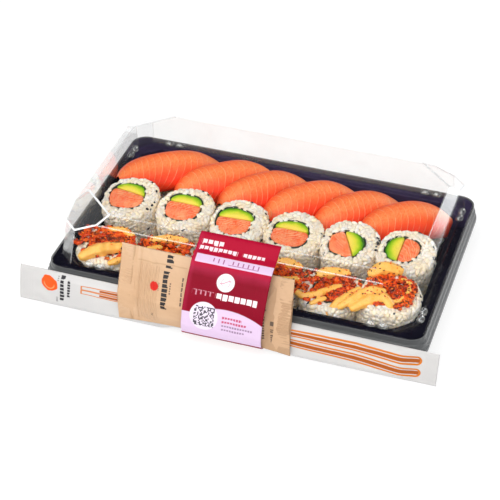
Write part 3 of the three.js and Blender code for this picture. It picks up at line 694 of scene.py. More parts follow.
# %% Give each face of the lid its finish
def flat_finish(centre, normal):
    """The finish of a flat face, from the way that its outer side looks."""
    x, y, z = normal
    if centre.x * x < 0 and abs(x) > 0.3:
        x = -x
    if centre.z < LID_FOOT_HEIGHT + 1:
        return SKIRT if centre.z < RIM_HEIGHT else CLEAR
    if x < -0.4 or (x < -0.3 and abs(y) > 0.3):
        return LEFT_SIDE
    if x > 0.9:
        return RIGHT_WALL
    if x > 0.4 and abs(z) > 0.7:
        return VEILED_BAND
    return BACK_WALL if abs(y) > 0.9 and centre.y > 50 else CLEAR


def lid_finish(slot, centre, normal):
    """The finish of any face: the painted edge highlights are weaker on some sides than on others.
    """
    if slot == CLEAR:
        return flat_finish(centre, normal)
    if slot == THICK_EDGE and centre.x * centre.y < 0:
        return CREASE if centre.x < 0 else CLEAR
    if slot == CREASE and centre.x > 0 > centre.y and centre.z < 45:
        return CLEAR
    return slot


slots_used = [0] * len(LID_FINISHES)
for face in lid_mesh.polygons:
    face.material_index = lid_finish(face.material_index, face.center * 1000, face.normal)
    slots_used[face.material_index] += 1
print(f"lid faces by finish: {slots_used}")
add_piece("clear_lid", lid_mesh, clear, ["lid"])

# %% [markdown]
# ## Rice
# Seen close, a roll's rice is a crowd of moist grains with dark seams between them. A
# bump can't give that outline, so each grain is a small mesh laid on a core that only
# fills the gaps. Grains are thrown at random on the core and kept where no other is too
# near, which spreads them as evenly as pressed rice, and the draws are seeded.

# %% Scatter places over a skin
def scatter(points, faces, spacing, draws, tries, wanted):
    """Places on a skin at least the spacing apart, and the way out at each of them.

    Only its quads are used, and of those the ones whose middles are wanted."""
    quads = np.array([f for f in faces if len(f) == 4])
    corners = points[np.concatenate([quads[:, [0, 1, 2]], quads[:, [0, 2, 3]]])]
    cross = np.cross(corners[:, 1] - corners[:, 0], corners[:, 2] - corners[:, 0])
    weight = np.linalg.norm(cross, axis=1) * wanted(corners.mean(axis=1))
    picked = draws.choice(len(corners), size=tries, p=weight / weight.sum())
    share = draws.random((tries, 2))
    share = np.where(share.sum(axis=1, keepdims=True) > 1, 1 - share, share)
    a, b, c = corners[picked, 0], corners[picked, 1], corners[picked, 2]
    places = a + (b - a) * share[:, :1] + (c - a) * share[:, 1:]
    outward = cross[picked] / np.linalg.norm(cross[picked], axis=1, keepdims=True)
    kept = np.empty((0, 3))
    chosen = []
    for i, place in enumerate(places):
        if len(kept) == 0 or ((kept - place) ** 2).sum(axis=1).min() > spacing ** 2:
            kept = np.vstack([kept, place])
            chosen.append(i)
    return kept, outward[chosen]


# %% One grain, and a crowd of them
def grain_form(around=7, bend=0.12):
    """A grain one unit long on each half axis: a bent, blunt spindle."""
    stations = (-0.86, -0.42, 0.42, 0.86)
    turns = np.arange(around) * 2 * math.pi / around
    points = [(-1.0, 0.0, 0.0)]
    for s in stations:
        radius = (1 - abs(s) ** 2.6) ** 0.5
        points += [(s, math.cos(t) * radius, math.sin(t) * radius) for t in turns]
    points.append((1.0, 0.0, 0.0))
    points = np.array(points)
    points[:, 2] -= bend * (points[:, 0] ** 2 - 0.4)
    faces = []
    for i in range(around):
        j = (i + 1) % around
        faces.append((0, 1 + j, 1 + i))
        for r in range(len(stations) - 1):
            low, high = 1 + r * around, 1 + (r + 1) * around
            faces.append((low + i, low + j, high + j, high + i))
        last = 1 + (len(stations) - 1) * around
        faces.append((len(points) - 1, last + i, last + j))
    return points, faces


GRAIN_FORM = grain_form()


def lay_grains(form, places, outward, half_sizes, draws, tilt=0.25, sink=0.0):
    """Copies of a form, each lying on its place at a random turn, and a tone for each."""
    points, faces = form
    count = len(places)
    heading = draws.normal(size=(count, 3))
    heading -= outward * (heading * outward).sum(axis=1, keepdims=True)
    heading /= np.linalg.norm(heading, axis=1, keepdims=True)
    heading += outward * draws.uniform(-tilt, tilt, (count, 1))
    heading /= np.linalg.norm(heading, axis=1, keepdims=True)
    across = np.cross(outward, heading)
    across /= np.linalg.norm(across, axis=1, keepdims=True)
    up = np.cross(heading, across)
    sizes = np.array(half_sizes) * draws.uniform(0.84, 1.16, (count, 3))
    local = points[None] * sizes[:, None]
    axes = np.stack([heading, across, up], axis=1)
    lift = (0.4 - sink) * sizes[:, 2:]
    crowd = np.einsum("nvk,nkj->nvj", local, axes) + (places + outward * lift)[:, None]
    step = len(points)
    crowd_faces = [tuple(i + g * step for i in f) for g in range(count) for f in faces]
    tones = np.repeat(draws.random(count), step)
    return crowd.reshape(-1, 3), crowd_faces, tones


def lump(point, size, seed):
    """Smooth noise from -1 to 1 at a point, with lumps about as wide as the size."""
    return noise.noise(Vector(point) / size + Vector((seed * 7.3, seed * 3.1, -seed * 5.7)))


# %% Finish the rice
def screen(red, green, blue):
    """A colour as it looks on a screen, from 0 to 255, as the light that makes it."""
    shares = [channel / 255 for channel in (red, green, blue)]
    return tuple(s / 12.92 if s <= 0.04045 else ((s + 0.055) / 1.055) ** 2.4 for s in shares)


rice = Finish(
    "moist_rice", Subsurface_Weight=0.45, Subsurface_Scale=0.003,
    Subsurface_Radius=(1.0, 0.75, 0.45), Specular_IOR_Level=0.35,
)
tone = rice.stored("tone")
starch = rice.grain(1.3, 2)
cream = rice.blend(tone, screen(255, 238, 212), screen(255, 250, 240))
golden_share = 0.6 * rice.grain(9, 2).past(0.5, 0.4)
rice.put("Base Color", rice.blend(golden_share, cream, screen(255, 222, 176)))
rice.put("Roughness", 0.3 + 0.25 * starch)
rice.relief(starch, 0.12)

# %% [markdown]
# ### Rolls
# A roll is rice outside, a thin dark sheet of nori inside it, and the filling in the
# middle. It stands on one cut end and leans a little, so each roll has a seat: a turn
# and a place on the tray's floor. Everything in it is shaped upright and then seated.

# %% Places of the rolls
FLOOR_TOP = 3.3
ROLL_HALF_WIDTH, ROLL_HALF_DEPTH = 18.1, 19.2
FILLING_HALF_WIDTH, FILLING_HALF_DEPTH = 12.7, 12.6
MIDDLE_LENGTH, MIDDLE_TILT = 24.0, 11
FRONT_LENGTH, FRONT_TILT = 21.5, 5
# The rice, the nori and the filling of a roll share its seed, so that their outlines meet
MIDDLE_SEED, FRONT_SEED = 10, 40
# x, y, lean in degrees, shift and size of the filling, turn and offset of its parting line
MIDDLE_ROLLS = (
    (-88.9, 0.8, -5, (-2.5, 1.3, 1.0), 77, 4.2), (-53.2, 1.2, -3, (-1.2, 0.8, 0.98), 85, 3.7),
    (-17.6, -0.8, -1, (-2.6, -1, 1.0), 91, 2.8), (18, -1.6, 0, (-2, -1, 0.98), 90, 3.2),
    (53.7, 0.2, 0, (-1.8, -1.4, 0.94), 27, 1.2), (89, 1.8, -1, (-2.9, 1.6, 0.9), 178, 0.5),
)
# x, y, lean in degrees, shift and size of the filling, extra length
FRONT_ROLLS = (
    (-88, -49.8, -2, (0, 0, 0.9), 0), (-52.6, -49.6, 0, (1, 0, 0.9), 0.6),
    (-17.1, -49.4, 0, (0, 0, 0.9), -0.4), (18.4, -49.6, 0, (-1, 0, 0.9), 0.4),
    (53.9, -49, 0, (0, 0, 0.9), 0), (88.5, -47, 4.6, (1, 0, 0.9), 4.5),
)


def roll_seat(x, y, lean, tilt):
    """The turn and the place of a roll that stands on the floor."""
    tilt, lean = math.radians(tilt), math.radians(lean)
    turn = Matrix.Rotation(lean, 3, "Y") @ Matrix.Rotation(tilt, 3, "X")
    rise = math.hypot(ROLL_HALF_DEPTH * math.sin(tilt), ROLL_HALF_WIDTH * math.sin(abs(lean)))
    return np.array(turn), np.array([x, y, FLOOR_TOP + rise])


def seated(points, seat):
    """Points that were shaped upright, turned and set in their seat."""
    return np.asarray(points) @ seat[0].T + seat[1]


def oval(turns, half_width, half_depth):
    """Points round a roll: an oval with slightly squared shoulders."""
    squareness = 1 - 0.025 * np.cos(4 * turns)
    wide, deep = np.cos(turns) * half_width, np.sin(turns) * half_depth
    return np.stack([wide * squareness, deep * squareness], axis=-1)


def filling_ring(inset, size, seed, steps=64):
    """Points round the filling, whose outline is a little uneven in each roll."""
    turns = np.arange(steps) * 2 * math.pi / steps
    ring = oval(turns, FILLING_HALF_WIDTH * size - inset, FILLING_HALF_DEPTH * size - inset)
    for i, turn in enumerate(turns):
        ring[i] *= 1 + 0.11 * lump((math.cos(turn), math.sin(turn), 0), 0.8, seed)
    return ring


# %% Core of a roll's rice
CORE_STEPS = 72
CORE_INSET = 0.6


def rice_core(length, filling, seed):
    """Rings round the rice: up the outside, over the cut end, down beside the nori."""
    turns = np.arange(CORE_STEPS) * 2 * math.pi / CORE_STEPS
    wide, deep = ROLL_HALF_WIDTH - CORE_INSET, ROLL_HALF_DEPTH - CORE_INSET
    hole = filling_ring(-0.05, filling[2], seed, CORE_STEPS) + filling[:2]
    section = [(0, 0.0, 0.8), (0, 0.6, 0.1)]
    section += [(0, length * s, 0.0) for s in (0.15, 0.3, 0.45, 0.6, 0.75, 0.87)]
    section += [(0, length - 1.6, 0.3), (0, length - 0.9, 0.9), (0.12, length - 0.6, 1.0)]
    section += [(s, length - 0.5, 0.6 * (1 - s)) for s in (0.35, 0.6, 0.85)]
    section += [(1, length - 0.9, 0.0), (1, length * 0.5, 0.0), (1, 0.0, 0.0)]
    rings = []
    for share, z, inset in section:
        outside = oval(turns, wide - inset, deep - inset)
        ring = np.column_stack([outside * (1 - share) + hole * share, np.full(CORE_STEPS, z)])
        if share < 1 and z > 0:
            for i, point in enumerate(ring):
                bulge = 0.55 * lump(point, 9, seed) + 0.4 * lump(point, 2.6, seed + 5)
                ring[i, :2] *= 1 + bulge / ROLL_HALF_WIDTH
                ring[i, 2] += 0.6 * bulge * (z > length - 2)
        rings.append(ring)
    return rings


# %% Lay the grains on a core
# Half sizes of a grain, least distance between two grains, and how many are thrown
ROLL_CROWD = ((2.5, 1.55, 1.2), 1.95, 4600)
CORE_TONE = 0.6


def add_rice(name, points, faces, seat, seed, crowd, wanted, solid):
    """A core and the crowd of grains on it, as one piece."""
    draws = np.random.default_rng(seed)
    half_sizes, spacing, tries = crowd
    places, outward = scatter(points, faces, spacing, draws, tries, wanted)
    grains, grain_faces, tones = lay_grains(
        GRAIN_FORM, places, outward, half_sizes, draws, sink=0.2
    )
    faces = faces + [tuple(i + len(points) for i in f) for f in grain_faces]
    tones = np.concatenate([np.full(len(points), CORE_TONE), tones])
    everything = np.concatenate([points, grains])
    mesh = build_mesh(name, seated(everything, seat), faces, stored={"tone": tones})
    print(f"{name}: {len(places)} grains, {triangle_count(mesh)} triangles")
    add_piece(name, mesh, rice, [solid])


# %% Rice of all the rolls
def outside_of_roll(filling, seed):
    """Keeps grains off the floor end and clear of the nori's edge."""
    hole = filling_ring(-0.75, filling[2], seed)
    hole_turns, hole_reach = np.arctan2(hole[:, 1], hole[:, 0]), np.hypot(hole[:, 0], hole[:, 1])

    def wanted(centres):
        x, y = centres[:, 0] - filling[0], centres[:, 1] - filling[1]
        reach = np.interp(np.arctan2(y, x), hole_turns, hole_reach, period=2 * math.pi)
        return (centres[:, 2] > 0.5) & (np.hypot(x, y) > reach)
    return wanted


def add_roll_rice(name, length, filling, seat, seed, solid):
    """The rice of one roll, with room in it for the nori and the filling."""
    rings = rice_core(length, filling, seed)
    faces = band_faces(len(rings), CORE_STEPS, closed_loop=True)
    wanted = outside_of_roll(filling, seed)
    add_rice(name, np.concatenate(rings), faces, seat, seed, ROLL_CROWD, wanted, solid)


for i, (x, y, lean, filling, *_) in enumerate(MIDDLE_ROLLS):
    seat = roll_seat(x, y, lean, MIDDLE_TILT)
    name, solid = f"rolled_rice_{i + 1}", f"roll_{i + 1}_rice"
    add_roll_rice(name, MIDDLE_LENGTH, filling, seat, MIDDLE_SEED + i, solid)
for i, (x, y, lean, filling, extra) in enumerate(FRONT_ROLLS):
    seat = roll_seat(x, y, lean, FRONT_TILT)
    name, solid = f"dressed_rice_{i + 1}", f"dressed_roll_{i + 1}_rice"
    add_roll_rice(name, FRONT_LENGTH + extra, filling, seat, FRONT_SEED + i, solid)

# %% [markdown]
# ### Nori and fillings
# The cut end shows a dark wavy line of nori, a wedge of avocado that goes from yellow
# inside to green at its skin, and salmon with pale arcs of fat. Each is a bar through
# the roll whose cut end swells and dips a little, because a knife squeezes soft food.
# The mesh carries each point's place in its own roll, and the finishes draw from that.

# %% Outlines of the filling
def clip_outline(outline, turn, offset):
    """The part of an outline beyond a line at the given turn and offset."""
    normal = np.array([math.cos(turn), math.sin(turn)])
    heights = outline @ normal - offset
    kept = []
    for i in range(len(outline)):
        j = (i + 1) % len(outline)
        if heights[i] >= 0:
            kept.append(outline[i])
        if heights[i] * heights[j] < 0:
            share = heights[i] / (heights[i] - heights[j])
            kept.append(outline[i] + (outline[j] - outline[i]) * share)
    return np.array(kept)


def distances(route):
    """How far along a route each of its points lies."""
    return np.concatenate([[0], np.cumsum(np.linalg.norm(np.diff(route, axis=0), axis=1))])


def even_outline(outline, steps, rounds=3):
    """The outline with evenly spaced points and its corners worn round."""
    closed = np.vstack([outline, outline[:1]])
    lengths = distances(closed)
    wanted = np.linspace(0, lengths[-1], steps, endpoint=False)
    even = np.column_stack([np.interp(wanted, lengths, closed[:, k]) for k in (0, 1)])
    for _ in range(rounds):
        even = 0.5 * even + 0.25 * (np.roll(even, 1, axis=0) + np.roll(even, -1, axis=0))
    return even


# %% A bar with a soft cut end
def soft_bar(outline, length, crown, seed):
    """Rings of a bar whose upper end is rounded, raised by a crown, and uneven."""
    middle = outline.mean(axis=0)
    section = [(0.3, 1.0), (length * 0.5, 1.0), (length - 1.2, 1.0), (length - 0.6, 0.985)]
    section += [(length - 0.2, 0.965), (length + 0.05, 0.92)]
    section += [(length + crown * (1 - s * s), s) for s in (0.74, 0.58, 0.42, 0.26, 0.1)]
    rings = []
    for z, share in section:
        ring = np.column_stack([middle + (outline - middle) * share, np.full(len(outline), z)])
        if z > length - 1:
            for i, point in enumerate(ring):
                ring[i, 2] += 0.35 * lump(point, 5, seed) + 0.16 * lump(point, 1.8, seed)
        rings.append(ring)
    return rings


def filling_stored(points, parting_turn, offset, size, seed):
    """What a finish needs: the place in the roll, and the nearness to the nori."""
    across = points[:, 0] * math.cos(parting_turn) + points[:, 1] * math.sin(parting_turn)
    along = -points[:, 0] * math.sin(parting_turn) + points[:, 1] * math.cos(parting_turn)
    wide, deep = FILLING_HALF_WIDTH * size - 0.8, FILLING_HALF_DEPTH * size - 0.8
    rim = np.hypot(points[:, 0] / wide, points[:, 1] / deep)
    return {"across": across - offset, "along": along + 37 * seed, "rim": rim}


def add_filling(name, outline, crown, parting, filling, seat, seed, finish, solid):
    """One filling of a middle roll. Its parting line is a turn and an offset."""
    outline = even_outline(outline, 48)
    points, faces = capped_loft(soft_bar(outline, MIDDLE_LENGTH, crown, seed))
    stored = filling_stored(points, *parting, filling[2], seed % 7)
    points = points + [filling[0], filling[1], 0]
    mesh = turn_outward(build_mesh(name, seated(points, seat), faces, stored=stored))
    add_piece(name, mesh, finish, [solid])


# %% Finish the fillings
avocado = Finish("avocado_flesh", Subsurface_Weight=0.15, Subsurface_Scale=0.002,
                 Specular_IOR_Level=0.3)
ripple = avocado.grain(3.5, 3)
edge_green = avocado.stored("rim") + 0.22 * (ripple - 0.5)
skinward = (avocado.stored("across") / 9).clamp()
depth = (0.55 * edge_green ** 3 + 0.6 * skinward ** 1.4 + 0.12 * (ripple - 0.5)).clamp()
avocado.put("Base Color", avocado.ramp(depth, (
    (0.0, screen(240, 214, 92)), (0.26, screen(224, 218, 66)), (0.5, screen(168, 200, 34)),
    (0.78, screen(104, 170, 6)), (1.0, screen(44, 100, 4)),
)))
avocado.put("Roughness", 0.32 + 0.25 * ripple)
avocado.relief(avocado.grain(1.6, 3), 0.25)

fish = Finish("salmon_cut", Subsurface_Weight=0.25, Subsurface_Scale=0.003,
              Subsurface_Radius=(1.0, 0.35, 0.2), Specular_IOR_Level=0.3)
wander = fish.grain(7, 2)
bow = fish.stored("along") * 0.9 + fish.stored("across") * 0.6
arcs = (bow / 2.9 + 3.6 * wander + 0.03 * fish.stored("across") ** 2) % 1.0
fat = (1 - (abs(arcs - 0.5) * 2).past(0.3, 0.3)) * fish.grain(3.5, 1).past(0.42, 0.25)
deep = fish.grain(5, 3).past(0.5, 0.3)
flesh = fish.blend(deep, screen(255, 132, 76), screen(248, 84, 30))
brushed = fish.grain(1.0, 3, fish.place((1.0, 0.35, 0.35)), roughness=0.7).past(0.55, 0.3)
flesh = fish.blend(0.4 * brushed, flesh, screen(255, 196, 150))
flesh = fish.blend(0.42 * fat, flesh, screen(255, 216, 178))
fish.put("Base Color", flesh)
fish.put("Roughness", 0.24 + 0.22 * fish.grain(2, 2))
fish.relief(0.5 * fat + fish.grain(1.1, 3), 0.22)

nori = Finish("nori_sheet", Specular_IOR_Level=0.4)
fibre = nori.grain(1.2, 3)
nori.put("Base Color", nori.blend(fibre, screen(34, 42, 34), screen(70, 78, 62)))
nori.put("Roughness", 0.5 + 0.3 * fibre)
nori.relief(fibre, 0.15)


# %% Roll the nori
NORI_STEPS = 96
NORI_FOOT = 0.2


def add_nori(name, length, filling, seat, seed, solid):
    """A thin tube round the filling whose upper edge was cut a little ragged."""
    rings = []
    for inset, upper in ((0.05, False), (0, True), (0.45, True), (0.5, False)):
        ring = filling_ring(inset, filling[2], seed, NORI_STEPS)
        z = np.full(NORI_STEPS, NORI_FOOT)
        for i, point in enumerate(ring):
            wave = 0.1 * lump((*point, 3.0 * upper), 4, seed)
            ring[i] *= 1 + wave / FILLING_HALF_WIDTH
            if upper:
                z[i] = length + 0.1 + 0.5 * lump((*point, 0), 3.0, seed + 2)
        rings.append(np.column_stack([ring + filling[:2], z]))
    points = np.concatenate(rings)
    faces = band_faces(len(rings), NORI_STEPS, closed_loop=True)
    mesh = turn_outward(build_mesh(name, seated(points, seat), faces))
    add_piece(name, mesh, nori, [solid])


# %% Fill the rolls
# Name, slot, finish, crown, side of the parting line, and first seed of the two fillings
FILLINGS = (
    ("avocado", "avocado", avocado, 0.9, 1, 20), ("salmon_bar", "salmon", fish, 0.5, -1, 30),
)
PARTING_GAP = 0.15
for i, (x, y, lean, filling, parting, offset) in enumerate(MIDDLE_ROLLS):
    seat = roll_seat(x, y, lean, MIDDLE_TILT)
    number, ring_seed = i + 1, MIDDLE_SEED + i
    inside_nori = filling_ring(0.55, filling[2], ring_seed)
    add_nori(f"nori_{number}", MIDDLE_LENGTH, filling, seat, ring_seed, f"roll_{number}_nori")
    for name, slot, finish, crown, side, seed in FILLINGS:
        turn = math.radians(parting) + (math.pi if side < 0 else 0)
        outline = clip_outline(inside_nori, turn, side * offset + PARTING_GAP)
        add_filling(
            f"{name}_{number}", outline, crown, (turn, side * offset), filling, seat, seed + i,
            finish, f"roll_{number}_{slot}",
        )
for i, (x, y, lean, filling, extra) in enumerate(FRONT_ROLLS):
    seat = roll_seat(x, y, lean, FRONT_TILT)
    add_nori(
        f"dressed_nori_{i + 1}", FRONT_LENGTH + extra, filling, seat, FRONT_SEED + i,
        f"dressed_roll_{i + 1}_nori",
    )
print(f"nori in {len(MIDDLE_ROLLS) + len(FRONT_ROLLS)} rolls, fillings in {len(MIDDLE_ROLLS)}")

# %% [markdown]
# ## Nigiri
# Each nigiri is a slice of salmon over a small pressed loaf of rice. The slice is an arch
# in section that leans to the front, narrows to both tips and droops there. The pale
# lines of fat run across it, bowed as the muscle was, and between two of them the flesh
# goes from a deep to a lighter orange.

# %% Section of a nigiri
LOAF_LENGTH = 62
NIGIRI_TURN = 40
NIGIRI_LEAN = math.radians(28)
SLICE_HALF_WIDTH = 14.2
SLICE_ARCH = 9.5
SLICE_THICKNESS = 4.8
SLICE_MIDDLE_HEIGHT = 19.5
# x, y, turn, lift, and a form: how far the front and back tips droop, and the length
NIGIRI = (
    (-80.6, 44, -1, 1.3, (2.4, 11, 74)), (-45.6, 44.8, 0, 0, (8, 5, 66)),
    (-16, 42.4, 2, 0, (7.5, 8.5, 64)), (15, 40.5, 0, 0, (8.5, 6, 64)),
    (48.1, 40.4, 0, 0, (8.5, 10, 64)), (79, 39.4, 0, 0, (4, 10.5, 64)),
)


def arch_point(form, along, turn, half_width, arch):
    """A point a share along a slice, from -1 at the front tip, and a turn over its arch."""
    narrowing = math.sqrt(max(1 - 0.94 * abs(along) ** 3.4, 0.02))
    across = half_width * narrowing * math.cos(turn)
    rise = arch * math.sin(turn)
    sag = (form[0] if along < 0 else form[1]) * (0.8 * along ** 2 + 0.2 * along ** 4)
    lean_cos, lean_sin = math.cos(NIGIRI_LEAN), math.sin(NIGIRI_LEAN)
    return (
        along * form[2] / 2, -(across * lean_cos + rise * lean_sin),
        SLICE_MIDDLE_HEIGHT - across * lean_sin + rise * lean_cos - sag,
    )


def nigiri_seat(x, y, turn, lift):
    """The turn and the place of a nigiri that lies slanting across the tray."""
    spin = Matrix.Rotation(math.radians(NIGIRI_TURN + turn), 3, "Z")
    return np.array(spin), np.array([x, y, FLOOR_TOP + lift])


# %% The salmon slice
def slice_rings(form, seed):
    """Rings along the slice, and how far along and across it each point lies."""
    rings, along, across = [], [], []
    tips = np.linspace(-1, 1, 61)
    for s in np.sign(tips) * (1 - (1 - abs(tips)) ** 1.25):
        s *= 1 - 0.8 / form[2]
        x = s * form[2] / 2
        thin = 1 - 0.3 * s * s
        tip = 1 - 0.75 * smoothstep(abs(s), 0.9, 1.0)
        inside = SLICE_ARCH - SLICE_THICKNESS * thin * (0.35 + 0.65 * tip)
        edge = (SLICE_HALF_WIDTH + 0.1, SLICE_ARCH - 0.9)
        section = [(t, SLICE_HALF_WIDTH, SLICE_ARCH) for t in np.linspace(172, 8, 30)]
        section += [(5, *edge)]
        section += [(t, SLICE_HALF_WIDTH - 1.2, inside) for t in np.linspace(8, 172, 14)]
        section += [(175, *edge)]
        ring = []
        for turn, half_width, arch in section:
            point = np.array(arch_point(form, s, math.radians(turn), half_width, arch))
            wave = 0.6 * lump(point, 11, seed) + 0.22 * lump(point, 3.2, seed)
            point[1] += 0.5 * math.sin(0.12 * x + seed) - 0.5 * wave
            point[2] += 0.6 * wave - 0.25
            ring.append(point)
            along.append(x)
            across.append((90 - turn) * 0.2)
        rings.append(np.array(ring))
    return rings, along, across


slice_fish = Finish("salmon_slice", Subsurface_Weight=0.2, Subsurface_Scale=0.003,
                    Subsurface_Radius=(1.0, 0.3, 0.12), Specular_IOR_Level=0.3)
along = slice_fish.stored("along")
across = slice_fish.stored("across")
drift = slice_fish.grain(26, 1)
phase = along / 4.6 + 0.006 * across * across + 0.05 * across + 1.8 * drift
flake = phase % 1.0
line_width = 0.02 + 0.07 * slice_fish.grain(8, 1)
fat_line = 1 - (abs(flake - 0.5) * 2).past(line_width, 0.14)
fat_line = fat_line * slice_fish.grain(6, 2).past(0.46, 0.3)
fibres = slice_fish.grain(1.0, 4, slice_fish.place((1.0, 0.45, 0.6)), roughness=0.65)
# Painted light: the top of the arch is painted lighter with a painted sheen, and the lower front
# side is painted a deeper red as painted shade.
lit_crest = across.within(-8, 2, 8)
threads = (phase * 7 + 2.2 * slice_fish.grain(5, 2)) % 1.0
shade = 0.3 * ((flake + 0.5) % 1.0) + 0.3 * fibres + 0.4 * lit_crest
flesh = slice_fish.blend(shade, screen(246, 56, 16), screen(255, 118, 48))
painted_crest_sheen = lit_crest * (0.15 + 0.5 * fibres.past(0.5, 0.3))
flesh = slice_fish.blend(painted_crest_sheen, flesh, screen(255, 166, 104))
flesh = slice_fish.blend(0.22 * threads.past(0.6, 0.4), flesh, screen(255, 158, 100))
shaded_flank = across.past(4, 9) * (0.6 + slice_fish.grain(9, 2))
flesh = slice_fish.blend((0.65 * shaded_flank).clamp(), flesh, screen(246, 50, 20))
flesh = slice_fish.blend(0.7 * fat_line, flesh, screen(255, 194, 142))
slice_fish.put("Base Color", flesh)
slice_fish.put("Roughness", 0.28 + 0.24 * slice_fish.grain(3, 3))
slice_fish.relief(0.7 * fat_line + 0.6 * fibres + 0.6 * slice_fish.grain(3.2, 2), 0.28)


# %% The loaf of rice under it
LOAF_CROWD = ((2.5, 1.5, 1.15), 2.2, 1800)


def loaf_rings(form, seed):
    """Rings along the loaf, whose crown follows the underside of the slice."""
    rings = []
    top = SLICE_ARCH - SLICE_THICKNESS - 1.9
    shares = np.concatenate([[-0.63, -0.60], np.linspace(-0.56, 0.74, 22), [0.79, 0.81]])
    for i, share in enumerate(shares):
        end = min(i, len(shares) - 1 - i)
        draw_in = (2.6, 0.8)[end] if end < 2 else 0
        x = share * LOAF_LENGTH / 2
        crown = [
            arch_point(form, 2 * x / form[2], math.radians(t), 9.4 - draw_in, top - draw_in)
            for t in np.linspace(172, 8, 12)
        ]
        half_base = 6.4 - 0.8 * draw_in
        side = SLICE_MIDDLE_HEIGHT / 2 - 2
        base = [(1.12, side), (1.15, side * 0.6), (1.05, 1.6), (0.9, 0.2 + draw_in)]
        base += [(0, 0.1 + draw_in), (-0.9, 0.2 + draw_in), (-1.1, 2.0), (-1.2, side)]
        ring = np.array(crown + [(x, -half_base * out, z) for out, z in base])
        for k, point in enumerate(ring):
            ring[k, 1] += 0.5 * lump(point, 4, seed)
            ring[k, 2] = max(ring[k, 2] + 0.4 * lump(point, 4, seed + 3) - 0.3, 0.05)
        rings.append(ring)
    return rings


def add_loaf(name, form, seat, seed, solid):
    """The loaf under one slice, with grains wherever it doesn't touch the floor."""
    points, faces = capped_loft(loaf_rings(form, seed))
    core = turn_outward(build_mesh(name, points, faces))
    faces = [tuple(p.vertices) for p in core.polygons]
    bpy.data.meshes.remove(core)
    add_rice(
        name, points, faces, seat, seed, LOAF_CROWD, lambda middles: middles[:, 2] > 1.2, solid
    )


# %% Set the nigiri in their row
for i, (x, y, turn, lift, form) in enumerate(NIGIRI):
    seat = nigiri_seat(x, y, turn, lift)
    rings, along, across = slice_rings(form, 60 + i)
    points, faces = capped_loft(rings)
    stored = {"along": np.array(along) + 90 * i, "across": across}
    name = f"salmon_slice_{i + 1}"
    mesh = turn_outward(build_mesh(name, seated(points, seat), faces, stored=stored))
    add_piece(name, mesh, slice_fish, [f"nigiri_{i + 1}_salmon"])
    add_loaf(f"rice_loaf_{i + 1}", form, seat, 70 + i, f"nigiri_{i + 1}_rice")

# %% [markdown]
# ## Spicy mayonnaise and chilli
# The front rolls carry a rough heap of chopped fish, strips of orange mayonnaise squeezed
# over it, and chilli flakes. Sauce runs together where strips meet, which a voxel
# remesh of a chain of balls copies well: it melts them into one skin, and a few rounds of
# smoothing take the steps out. Strips that hang over the rim sink as they leave it.

# %% Melt balls into one skin
def melt(name, balls, voxel, smoothing):
    """One smooth skin round a list of balls, each (x, y, z, radius, flatness) in mm."""
    body = bmesh.new()
    for x, y, z, radius, flatness in balls:
        size = Matrix.Diagonal((radius, radius, radius * flatness, 1))
        seat = Matrix.Translation((x, y, z)) @ size
        bmesh.ops.create_icosphere(body, subdivisions=1, radius=1.0, matrix=seat)
    lumps = bpy.data.meshes.new(name)
    body.to_mesh(lumps)
    body.free()
    bench = bpy.data.objects.new("bench", lumps)
    scene.collection.objects.link(bench)
    remesh = bench.modifiers.new("melt", "REMESH")
    remesh.mode = "VOXEL"
    remesh.voxel_size = voxel
    smooth = bench.modifiers.new("settle", "SMOOTH")
    smooth.iterations = smoothing
    smooth.factor = 0.6
    bpy.context.view_layer.update()
    evaluated = bench.evaluated_get(bpy.context.evaluated_depsgraph_get())
    melted = evaluated.to_mesh()
    points = np.array([v.co for v in melted.vertices])
    faces = [tuple(p.vertices) for p in melted.polygons]
    evaluated.to_mesh_clear()
    bpy.data.objects.remove(bench)
    bpy.data.meshes.remove(lumps)
    return points, faces


def strip_balls(route, radius, seed, flatness=0.8, step=0.9):
    """A chain of balls along a route of (x, y, z) points, thinner at both ends."""
    route = np.array(route, float)
    lengths = distances(route)
    count = max(int(lengths[-1] / step), 3)
    balls = []
    for share in np.linspace(0, 1, count):
        x, y, z = place = [np.interp(share * lengths[-1], lengths, route[:, k]) for k in range(3)]
        taper = 0.62 + 0.38 * math.sin(math.pi * min(max(share, 0.08), 0.92)) ** 0.5
        swell = 1 + 0.22 * lump(place, 3.5, seed)
        sway = 0.5 * lump(place, 6, seed + 1)
        balls.append((x, y + sway, z, radius * taper * swell, flatness))
    return balls


